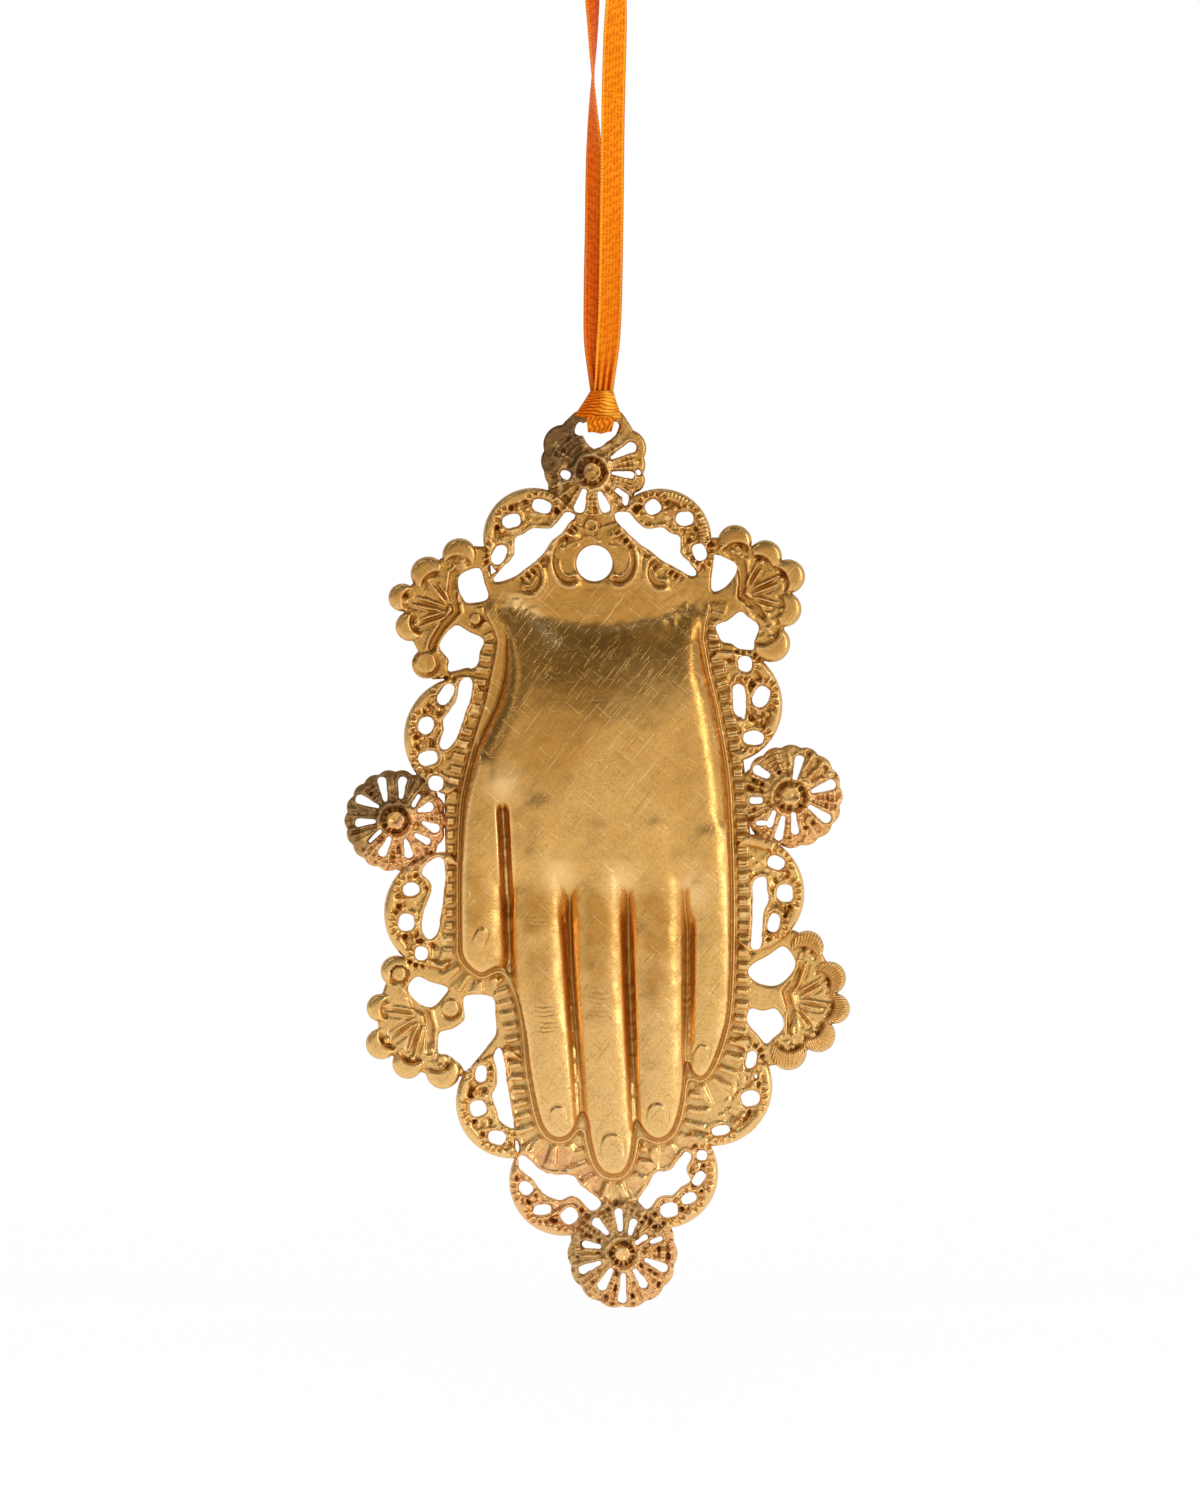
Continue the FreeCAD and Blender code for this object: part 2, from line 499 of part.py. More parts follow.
# ---------------------------------------------------------------- parts
os.makedirs("parts", exist_ok=True)
brass = plaque()
brass.translate(Vector(ROSETTE_X, 0, ROSETTE_Z))
nodes = {
    "brass_plaque": brass,
    "ribbon_hitch": hitch(),
    "ribbon_strand_left": strap(STRAND_LEFT),
    "ribbon_strand_right": strap(STRAND_RIGHT),
    "ribbon_knot": knot(),
}
for name, shape in nodes.items():
    if shape.ShapeType == "Compound" and len(shape.Solids) == 1:
        shape = shape.Solids[0]
    shape.exportStep("parts/" + name + ".step")
    box = shape.BoundBox
    print("%-20s valid %s solids %d volume %.1f box %.1f %.1f %.1f to %.1f %.1f %.1f" % (
        name, shape.isValid(), len(shape.Solids), shape.Volume,
        box.XMin, box.YMin, box.ZMin, box.XMax, box.YMax, box.ZMax))
for name, stations in (("left", STRAND_LEFT), ("right", STRAND_RIGHT)):
    length = strand_length(stations)
    section = RIBBON_WIDTH * RIBBON_THICK
    print("strand %s: length %.1f, section x length %.1f, volume %.1f, radius at the hook %.2f" % (
        name, length, section * length, nodes["ribbon_strand_" + name].Volume, HOOK_R))
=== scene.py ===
"""Hamsa hand ornament: a stamped and pierced brass plaque on a tied satin ribbon.

Sizes are in millimetres until a mesh is made. Places on the plaque are (x, z) from the centre of its
top rosette, and the rise of its relief is counted forwards from its back plane.
"""

import logging
import math
from dataclasses import dataclass
from enum import Enum
from typing import Dict, List, Optional, Sequence, Tuple, Union

import bpy
import numpy as np
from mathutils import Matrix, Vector

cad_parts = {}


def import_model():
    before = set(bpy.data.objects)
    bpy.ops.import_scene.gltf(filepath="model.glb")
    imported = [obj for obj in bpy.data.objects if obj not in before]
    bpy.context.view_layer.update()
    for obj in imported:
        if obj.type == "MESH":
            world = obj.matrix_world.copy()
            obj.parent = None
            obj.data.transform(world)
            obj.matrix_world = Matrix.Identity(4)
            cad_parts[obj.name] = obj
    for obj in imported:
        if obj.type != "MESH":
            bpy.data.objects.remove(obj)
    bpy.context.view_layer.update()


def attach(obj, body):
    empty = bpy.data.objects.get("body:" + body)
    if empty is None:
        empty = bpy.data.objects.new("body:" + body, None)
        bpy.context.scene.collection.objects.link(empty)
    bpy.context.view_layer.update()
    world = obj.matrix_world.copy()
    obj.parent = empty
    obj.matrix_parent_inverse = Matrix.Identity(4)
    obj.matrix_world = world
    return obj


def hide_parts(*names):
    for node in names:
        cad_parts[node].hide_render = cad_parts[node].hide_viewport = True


Place = Tuple[float, float]
Triple = Tuple[float, float, float]
Line = Sequence[Place]
Window = Tuple[slice, slice]
Value = Union["Number", float]
Station = Tuple[float, float, float, float]

MM = 0.001
ROUND = 2 * math.pi
ROSETTE_X, ROSETTE_Z = -1.6, -76.5
BACK_Y = 0.4
BORDER = 0.8
FAR = 9.0
log = logging.getLogger("ornament")


# ------------------------------------------------------------------ node arithmetic
class Number:
    """A number that runs through a material's nodes and is written like one in an expression."""

    def __init__(self, graph: "Graph", socket: bpy.types.NodeSocket) -> None:
        """Keeps the graph and the socket that gives the number."""
        self.graph, self.socket = graph, socket

    def _with(self, operation: str, *others: Value, clamp: bool = False) -> "Number":
        """Feeds a Math node with itself and the others, held between 0 and 1 if clamped."""
        inputs = dict(enumerate((self,) + others))
        return self.graph.number("ShaderNodeMath", {"operation": operation, "use_clamp": clamp}, inputs)

    def __add__(self, other: Value) -> "Number":
        """Sum."""
        return self._with("ADD", other)

    __radd__ = __add__

    def __mul__(self, other: Value) -> "Number":
        """Product."""
        return self._with("MULTIPLY", other)

    __rmul__ = __mul__

    def __sub__(self, other: Value) -> "Number":
        """Difference."""
        return self._with("SUBTRACT", other)

    def __rsub__(self, other: float) -> "Number":
        """Difference from a plain number."""
        return (self * -1.0) + other

    def sine(self) -> "Number":
        """Its sine, in radians."""
        return self._with("SINE")

    def size(self) -> "Number":
        """Its absolute value."""
        return self._with("ABSOLUTE")

    def clamped(self) -> "Number":
        """Held between 0 and 1."""
        return self._with("ADD", 0.0, clamp=True)

    def at_least(self, low: float) -> "Number":
        """Held at or over a value."""
        return self._with("MAXIMUM", low)

    def span(self, low: float, high: float) -> "Number":
        """Its place between two values, eased from 0 at low to 1 at high."""
        return self.graph.number("ShaderNodeMapRange", {"interpolation_type": "SMOOTHSTEP"},
                                 {"Value": self, "From Min": low, "From Max": high})


class Graph:
    """The nodes of one material or world."""

    def __init__(self, owner: Union[bpy.types.Material, bpy.types.World]) -> None:
        """Starts with no nodes.

        Args:
            owner: the new material or world.
        """
        owner.use_nodes = True
        self.owner, self.tree = owner, owner.node_tree
        self.tree.nodes.clear()

    def node(self, kind: str, settings: Dict[str, object], inputs: Dict[object, object]) -> bpy.types.Node:
        """Adds a node.

        Args:
            kind: the node's type.
            settings: its properties by name.
            inputs: its inputs by name or number: numbers, colours, vectors or sockets.

        Returns:
            The node.
        """
        made = self.tree.nodes.new(kind)
        for name, value in settings.items():
            setattr(made, name, value)
        for name, value in inputs.items():
            value = value.socket if isinstance(value, Number) else value
            if isinstance(value, bpy.types.NodeSocket):
                self.tree.links.new(value, made.inputs[name])
            else:
                made.inputs[name].default_value = value
        return made

    def number(self, kind: str, settings: Dict[str, object], inputs: Dict[object, object],
               output: object = 0) -> Number:
        """Adds a node and gives one of its outputs as a number."""
        return Number(self, self.node(kind, settings, inputs).outputs[output])

    def attribute(self, name: str) -> Number:
        """A number stored on the mesh's points."""
        return self.number("ShaderNodeAttribute", {"attribute_name": name}, {}, "Fac")

    def place(self, turn: float = 0.0, stretch: Triple = (1, 1, 1)) -> bpy.types.NodeSocket:
        """The point on the object in millimetres, turned about Y and then scaled.

        Args:
            turn: the turn in degrees.
            stretch: the scale along x, y and z.

        Returns:
            The vector's socket.
        """
        here = self.node("ShaderNodeTexCoord", {}, {}).outputs["Object"]
        turned = self.node("ShaderNodeVectorRotate", {"rotation_type": "Y_AXIS"},
                           {"Vector": here, "Angle": math.radians(turn)}).outputs[0]
        scale = tuple(s / MM for s in stretch)
        return self.node("ShaderNodeVectorMath", {"operation": "MULTIPLY"}, {0: turned, 1: scale}).outputs[0]

    def noise(self, at: bpy.types.NodeSocket, scale: float, detail: float = 2.0,
              distortion: float = 0.0) -> Number:
        """Cloudy noise about 0.5, in grains of 1 / scale millimetres."""
        return self.number("ShaderNodeTexNoise", {}, {
            "Vector": at, "Scale": scale, "Detail": detail, "Distortion": distortion}, "Fac")

    def blend(self, share: Value, first: object, second: object) -> bpy.types.NodeSocket:
        """A colour between two, by a share from 0 to 1."""
        a, b = ((*colour, 1.0) if isinstance(colour, tuple) else colour for colour in (first, second))
        return self.node("ShaderNodeMix", {"data_type": "RGBA"}, {0: share, 6: a, 7: b}).outputs[2]

    def bump(self, height: Number, strength: float) -> bpy.types.NodeSocket:
        """A normal bent by a height in millimetres."""
        inputs = {"Height": height, "Distance": MM, "Strength": strength}
        return self.node("ShaderNodeBump", {}, inputs).outputs[0]

    def finish(self, inputs: Dict[str, object]) -> bpy.types.Material:
        """Ends the material in one Principled shader.

        Args:
            inputs: the shader's inputs by name.

        Returns:
            The material.
        """
        shader = self.node("ShaderNodeBsdfPrincipled", {}, inputs)
        self.node("ShaderNodeOutputMaterial", {}, {"Surface": shader.outputs[0]})
        return self.owner


# ------------------------------------------------------------------ finishes
@dataclass(frozen=True)
class BrassFinish:
    """Satin brass: hand-rubbed and painted with highlights on its high places, painted shade towards the top
    and over the wrist, painted light towards the bottom, and patina with painted shade in its hollows.
    """

    bright: Triple = (0.98, 0.64, 0.27)
    middle: Triple = (0.76, 0.43, 0.125)
    # the darker tone of the painted shade towards the top and in the painted shade patches
    painted_shade: Triple = (0.54, 0.262, 0.055)
    hollow: Triple = (0.30, 0.125, 0.022)
    # near-black of the deepest hollows: patina with painted shade
    pit_shade: Triple = (0.075, 0.030, 0.008)
    brown: Triple = (0.115, 0.060, 0.032)
    copper: Triple = (0.86, 0.42, 0.19)
    # painted shade: fades in upwards from this depth over this length, in mm
    shade_above: Place = (132.0, 46.0)
    # painted light: lighter downwards from this depth over this length, in mm
    light_below: Place = (134.0, 40.0)

    def make(self) -> bpy.types.Material:
        """Builds the material from the mesh's own patina and painted shade in hollows, painted shade patches,
        painted highlights and glints, tarnish, copper, grain and milling.

        Returns:
            The material.
        """
        g = Graph(bpy.data.materials.new("satin_brass"))
        here = g.place()
        height = g.number("ShaderNodeSeparateXYZ", {}, {0: here}, 2)
        cloud = g.noise(here, 0.10, 3.0, 0.6)
        mottle = g.noise(here, 0.55, 4.0)
        speck = g.noise(here, 3.2, 3.0)
        grit = g.noise(here, 6.5, 2.0)
        patina_and_shade, tarnish, ridge_highlight = g.attribute("patina_and_shade"), g.attribute("tarnish"), g.attribute("ridge_highlight")
        down = g.noise(g.place(52, (0.17, 1.0, 5.0)), 1.0, 3.0, 0.5)
        up = g.noise(g.place(-40, (0.22, 1.0, 6.0)), 1.0, 3.0, 0.4)
        level = g.noise(g.place(4, (0.30, 1.0, 5.0)), 1.0, 2.0, 0.4)
        light_lines = (down.span(0.60, 0.68) + up.span(0.62, 0.70) + level.span(0.66, 0.74) * 0.7).clamped()
        dark_lines = (down.span(0.40, 0.32) + up.span(0.38, 0.30)).clamped()
        # painted shade, darker towards the top, with random patches and the painted shade noted on the hand
        start, reach = self.shade_above
        shade_share = ((height + start) * (1 / reach) + (cloud - 0.5) * 1.5 + g.attribute("painted_shade")).clamped()
        # painted light, lighter towards the bottom, with random patches
        start, reach = self.light_below
        wear_and_light = ((height * -1.0 - start) * (1 / reach) + (mottle - 0.5) * 0.8).clamped()
        colour = self.middle
        # blends in order: painted shade at the top, painted light at the bottom, copper, dark specks and
        # scratches, light scratches with painted highlights, tarnish, patina with painted shade in the
        # hollows, light valley floors
        for share, tint in (
                (shade_share, self.painted_shade),
                (wear_and_light * 0.75, self.bright),
                ((g.attribute("copper") * mottle.span(0.25, 0.55)).clamped(), self.copper),
                ((speck.span(0.50, 0.36) * 0.24 + dark_lines * 0.30).clamped(), self.hollow),
                ((light_lines * 0.46 + ridge_highlight * 0.75).clamped(), self.bright),
                ((tarnish * mottle.span(0.26, 0.50) * 0.92).clamped(), self.brown),
                (patina_and_shade.span(0.10, 0.75) * 0.72, self.hollow),
                (patina_and_shade.span(0.55, 1.0) * 0.72, self.pit_shade),
                (g.attribute("floor") * grit.span(0.30, 0.50) * 0.55, self.bright)):
            colour = g.blend(share, colour, tint)
        milling = (g.attribute("milling") * ROUND).sine() * g.attribute("milled")
        grain = g.noise(here, 2.6, 3.0) * g.attribute("grain")
        relief = (light_lines * -0.016 + grit * 0.016 + grain * 0.20 + milling * 0.06
                  + g.noise(here, 0.35, 2.0) * 0.12)
        rough = (0.19 + mottle * 0.16 + tarnish * 0.20 + patina_and_shade * 0.12
                 - light_lines * 0.06 - ridge_highlight * 0.05).clamped()
        return g.finish({"Base Color": colour, "Metallic": 1.0, "Roughness": rough,
                         "Normal": g.bump(relief, 0.9)})


@dataclass(frozen=True)
class SatinFinish:
    """Woven satin ribbon: fine lengthwise floats, a paler corded selvedge on each side, painted shade in its
    creases and along its outer edges, and a painted sheen.
    """

    name: str = "ribbon_satin"
    face: Triple = (0.98, 0.285, 0.004)
    deep: Triple = (0.66, 0.115, 0.001)
    # pale: the selvedge's own colour, also used for the painted sheen
    pale: Triple = (1.0, 0.50, 0.045)
    # colour of the painted shade in creases and folds and along the outer edges
    fold: Triple = (0.50, 0.055, 0.001)
    thread: float = 0.40
    float_length: float = 1.1
    bead: float = 0.42

    def make(self) -> bpy.types.Material:
        """Builds the material from the ribbon's own coordinates, its painted crease shade (fold) and its
        painted sheen (glow).

        Returns:
            The material.
        """
        g = Graph(bpy.data.materials.new(self.name))
        along, across = g.attribute("along"), g.attribute("across")
        both = g.node("ShaderNodeCombineXYZ", {}, {0: across, 1: along, 2: 0.0}).outputs[0]
        wander = g.noise(both, 1.3, 2.0)
        warp = (across * (ROUND / self.thread) + wander * 3.0).sine() * 0.5 + 0.5
        breaks = (along * (ROUND / self.float_length) + across * 3.0 + wander * 14.0).sine() * 0.5 + 0.5
        floats = warp * 0.45 + breaks * 0.55
        selvedge = across.size().span(1.16, 1.30)
        beads = (along * (ROUND / self.bead)).sine() * 0.5 + 0.5
        colour = g.blend((floats.span(0.10, 0.72) * 0.72 + wander * 0.30).clamped(), self.deep, self.face)
        # painted shade in creases, folds and the shaded side of each strand
        colour = g.blend(g.attribute("fold"), colour, self.fold)
        # the selvedge's own paler beads, plus the painted sheen (glow)
        light = selvedge * (beads * 0.50 + 0.25) + g.attribute("glow")
        colour = g.blend(light.clamped(), colour, self.pale)
        # painted shade along both outer edges
        colour = g.blend(across.span(1.34, 1.44) * 0.75, colour, self.fold)
        height = floats * 0.09 + selvedge * beads * 0.06
        return g.finish({"Base Color": colour, "Roughness": (0.50 - floats * 0.14).clamped(),
                         "Specular IOR Level": 0.05, "Normal": g.bump(height, 0.8)})


# ------------------------------------------------------------------ flat geometry
def smooth_ring(points: Line, steps: int) -> np.ndarray:
    """A closed smooth line through its points.

    Args:
        points: the points, in order.
        steps: how many parts each stretch is drawn in, where 1 keeps the points as they are.

    Returns:
        The drawn points, one row each.
    """
    p = np.array(points, float)
    before, after, last = np.roll(p, 1, 0), np.roll(p, -1, 0), np.roll(p, -2, 0)
    drawn = []
    for t in np.arange(steps) / steps:
        drawn.append(0.5 * (2 * p + (after - before) * t + (2 * before - 5 * p + 4 * after - last) * t * t
                            + (3 * p - before - 3 * after + last) * t ** 3))
    return np.stack(drawn, 1).reshape(-1, 2)


def ring_distance(ring: np.ndarray, x: np.ndarray, z: np.ndarray) -> Tuple[np.ndarray, np.ndarray]:
    """How far points lie from a closed line, and where along it.

    Args:
        ring: the line's points.
        x: the points' x.
        z: the points' z.

    Returns:
        The distance, negative inside, and the length along the line to the nearest place.
    """
    best = np.full(x.shape, 1e9, np.float32)
    where = np.zeros(x.shape, np.float32)
    inside = np.zeros(x.shape, bool)
    length = 0.0
    for (ax, az), (bx, bz) in zip(ring, np.roll(ring, -1, 0)):
        dx, dz = bx - ax, bz - az
        size = math.hypot(dx, dz) + 1e-9
        t = np.clip(((x - ax) * dx + (z - az) * dz) / (size * size), 0, 1)
        gap = (x - ax - t * dx) ** 2 + (z - az - t * dz) ** 2
        nearer = gap < best
        best = np.where(nearer, gap, best)
        where = np.where(nearer, length + t * size, where)
        if abs(dz) > 1e-9:
            inside ^= ((az > z) != (bz > z)) & (x < dx * (z - az) / dz + ax)
        length += size
    return np.where(inside, -1, 1) * np.sqrt(best), where


def line_distance(points: Line, x: np.ndarray, z: np.ndarray,
                  widths: Optional[Sequence[float]] = None) -> Tuple[np.ndarray, np.ndarray]:
    """How far points lie from an open line that may have a varying half width.

    Args:
        points: the line's points.
        x: the points' x.
        z: the points' z.
        widths: the half width at each of the line's points.

    Returns:
        The distance less the half width, and the share of the line's points passed there.
    """
    widths = widths or [0.0] * len(points)
    best = np.full(x.shape, 1e9, np.float32)
    where = np.zeros(x.shape, np.float32)
    for i, ((ax, az), (bx, bz)) in enumerate(zip(points, points[1:])):
        dx, dz = bx - ax, bz - az
        t = np.clip(((x - ax) * dx + (z - az) * dz) / (dx * dx + dz * dz + 1e-9), 0, 1)
        gap = np.hypot(x - ax - t * dx, z - az - t * dz) - (widths[i] + t * (widths[i + 1] - widths[i]))
        nearer = gap < best
        best = np.where(nearer, gap, best)
        where = np.where(nearer, i + t, where)
    return best, where / max(1, len(points) - 1)


def step(value: np.ndarray, low: float, high: float) -> np.ndarray:
    """An eased step from 0 at low to 1 at high."""
    t = np.clip((value - low) / (high - low), 0, 1)
    return t * t * (3 - 2 * t)


def hump(value: np.ndarray, width: float) -> np.ndarray:
    """A bell of height 1 about 0, that far wide to its shoulder."""
    return np.exp(-(value / width) ** 2)


def signed(value: np.ndarray, power: float) -> np.ndarray:
    """A power of the size of numbers, with their own signs."""
    return np.copysign(np.abs(value) ** power, value)


def rounder(a: np.ndarray, b: np.ndarray, soft: float) -> np.ndarray:
    """The larger of two heights, with the corner between them filled softly."""
    return 0.5 * (a + b + np.sqrt((a - b) ** 2 + soft * soft))


def cloud(x: np.ndarray, z: np.ndarray, grain: float, seed: int) -> np.ndarray:
    """Smooth noise between -1 and 1.

    Args:
        x: the points' x.
        z: the points' z.
        grain: the size of its grains.
        seed: which noise.

    Returns:
        The noise at the points.
    """
    u, v = (x + 80) / grain, (z + 160) / grain
    i, j = np.floor(u).astype(int), np.floor(v).astype(int)
    grid = np.random.default_rng(seed).uniform(-1, 1, (j.max() + 3, i.max() + 3)).astype(np.float32)
    fu, fv = u - i, v - j
    fu, fv = fu * fu * (3 - 2 * fu), fv * fv * (3 - 2 * fv)
    low = grid[j, i] * (1 - fu) + grid[j, i + 1] * fu
    high = grid[j + 1, i] * (1 - fu) + grid[j + 1, i + 1] * fu
    return low * (1 - fv) + high * fv


def blurred(values: np.ndarray, radius: int, rounds: int = 2) -> np.ndarray:
    """Values averaged over a square about each point, again and again.

    Args:
        values: the values on the grid.
        radius: how many points the square reaches to each side.
        rounds: how often they are averaged.

    Returns:
        The averaged values.
    """
    for _ in range(rounds):
        for axis in (0, 1):
            reach = [(radius + 1, radius) if a == axis else (0, 0) for a in (0, 1)]
            summed = np.cumsum(np.pad(values, reach, mode="edge"), axis=axis, dtype=np.float64)
            size = values.shape[axis]
            high = np.take(summed, range(2 * radius + 1, 2 * radius + 1 + size), axis=axis)
            low = np.take(summed, range(0, size), axis=axis)
            values = ((high - low) / (2 * radius + 1)).astype(np.float32)
    return values


# ------------------------------------------------------------------ the stamped sheet
class Cut(Enum):
    """What a closed line bounds on the sheet."""

    METAL = "outer"
    OPENING = "holes"


class Sheet:
    """The brass sheet, sampled on a square grid: what is metal, and how far it is struck up."""

    NOTES = ("tarnish", "copper", "grain", "milling", "milled", "patina_and_shade", "ridge_highlight", "painted_shade", "painted_glint", "floor",
             "hand", "band", "lace")
    ALL = (slice(None), slice(None))

    def __init__(self, low: Place = (-32.4, -108.2), high: Place = (33.8, 8.6), pitch: float = 0.14) -> None:
        """Starts with no metal on a grid.

        Args:
            low: the grid's lower left corner.
            high: its upper right corner.
            pitch: the distance between its points.
        """
        self.pitch, self.low = pitch, low
        self.x, self.z = np.meshgrid(*(np.arange(low[i], high[i], pitch, dtype=np.float32) for i in (0, 1)))
        self.outer = np.full(self.x.shape, FAR, np.float32)
        self.holes = np.full(self.x.shape, FAR, np.float32)
        self.rise = np.full(self.x.shape, BORDER, np.float32)
        self.notes = {name: np.zeros(self.x.shape, np.float32) for name in self.NOTES}

    def near(self, centre: Place, reach: float) -> Window:
        """The window of the grid about a place.

        Args:
            centre: the place.
            reach: how far the window goes from it.

        Returns:
            The window's rows and columns.
        """
        sides = []
        for axis, size in ((1, self.x.shape[0]), (0, self.x.shape[1])):
            middle = (centre[axis] - self.low[axis]) / self.pitch
            sides.append(slice(max(0, int(middle - reach / self.pitch)),
                               min(size, int(middle + reach / self.pitch) + 2)))
        return tuple(sides)

    def about(self, points: Line, margin: float) -> Window:
        """The window of the grid round some points.

        Args:
            points: the points.
            margin: how far it goes beyond them.

        Returns:
            The window's rows and columns.
        """
        low, high = np.min(points, axis=0), np.max(points, axis=0)
        middle, half = (low + high) / 2, (high - low) / 2 + margin
        return self.near(middle, half[1])[0], self.near(middle, half[0])[1]

    def spot(self, window: Window, centre: Place) -> Tuple[np.ndarray, np.ndarray]:
        """The distance from a centre and the angle about it, over a window."""
        dx, dz = self.x[window] - centre[0], self.z[window] - centre[1]
        return np.hypot(dx, dz), np.arctan2(dz, dx)

    def oval(self, window: Window, centre: Place, halves: Place, tilt: float,
             power: float) -> Tuple[np.ndarray, np.ndarray]:
        """How far points lie out from the middle of a squarish oval.

        Args:
            window: the window.
            centre: the oval's middle.
            halves: half its width and height.
            tilt: its turn in degrees.
            power: how square it is, where 2 is an ellipse.

        Returns:
            The share of the way out, 1 on the oval, and the share of the way up.
        """
        rho, angle = self.spot(window, centre)
        u = rho * np.cos(angle - math.radians(tilt)) / halves[0]
        v = rho * np.sin(angle - math.radians(tilt)) / halves[1]
        return (np.abs(u) ** power + np.abs(v) ** power) ** (1 / power), v

    def cut(self, what: Cut, window: Window, distance: np.ndarray) -> None:
        """Bounds metal or an opening where a distance is negative."""
        grid = getattr(self, what.value)
        grid[window] = np.minimum(grid[window], distance)

    def ring(self, what: Cut, points: Line, steps: int = 3, margin: float = 1.5) -> None:
        """Bounds metal or an opening by a closed line through points.

        Args:
            what: metal or an opening.
            points: the line's points.
            steps: how many parts each stretch is drawn in.
            margin: how far beyond it the distance is kept.
        """
        window = self.about(points, margin)
        self.cut(what, window, ring_distance(smooth_ring(points, steps), self.x[window], self.z[window])[0])

    def disc(self, centre: Place, radius: float) -> None:
        """Adds a disc of metal."""
        window = self.near(centre, radius + 2)
        self.cut(Cut.METAL, window, self.spot(window, centre)[0] - radius)

    def strike(self, window: Window, rise: np.ndarray, soft: float = 0.12) -> None:
        """Strikes the sheet up to at least a rise."""
        self.rise[window] = rounder(self.rise[window], rise.astype(np.float32), soft)

    def add(self, window: Window, change: np.ndarray) -> None:
        """Adds to the rise over a window."""
        self.rise[window] += change.astype(np.float32)

    def chase(self, window: Window, change: np.ndarray, spare: str = "hand") -> None:
        """Adds to the rise over a window, but not on the hand, or not on the hand and its band."""
        self.add(window, change * (1 - self.notes[spare][window]))

    def pearl(self, centre: Place, radius: float, height: float) -> None:
        """Strikes a round pearl.

        Args:
            centre: its middle.
            radius: its radius.
            height: how far it stands up.
        """
        window = self.near(centre, radius + 0.5)
        away = self.spot(window, centre)[0] / radius
        dome = np.sqrt(np.clip(1 - away ** 2, 0, 1)) - 0.15
        self.strike(window, BORDER + height * dome - 3.0 * (away > 1), 0.06)

    def note(self, name: str, window: Window, amount: np.ndarray) -> None:
        """Raises one of the finish's notes to at least an amount."""
        self.notes[name][window] = np.maximum(self.notes[name][window], amount.astype(np.float32))


# ------------------------------------------------------------------ the struck motifs
class Motif:
    """A part of the plaque's pattern: its metal, then its openings, then its relief."""

    def outline(self, sheet: Sheet) -> None:
        """Adds its metal."""

    def pierce(self, sheet: Sheet) -> None:
        """Saws out its openings."""

    def strike(self, sheet: Sheet) -> None:
        """Strikes its relief."""


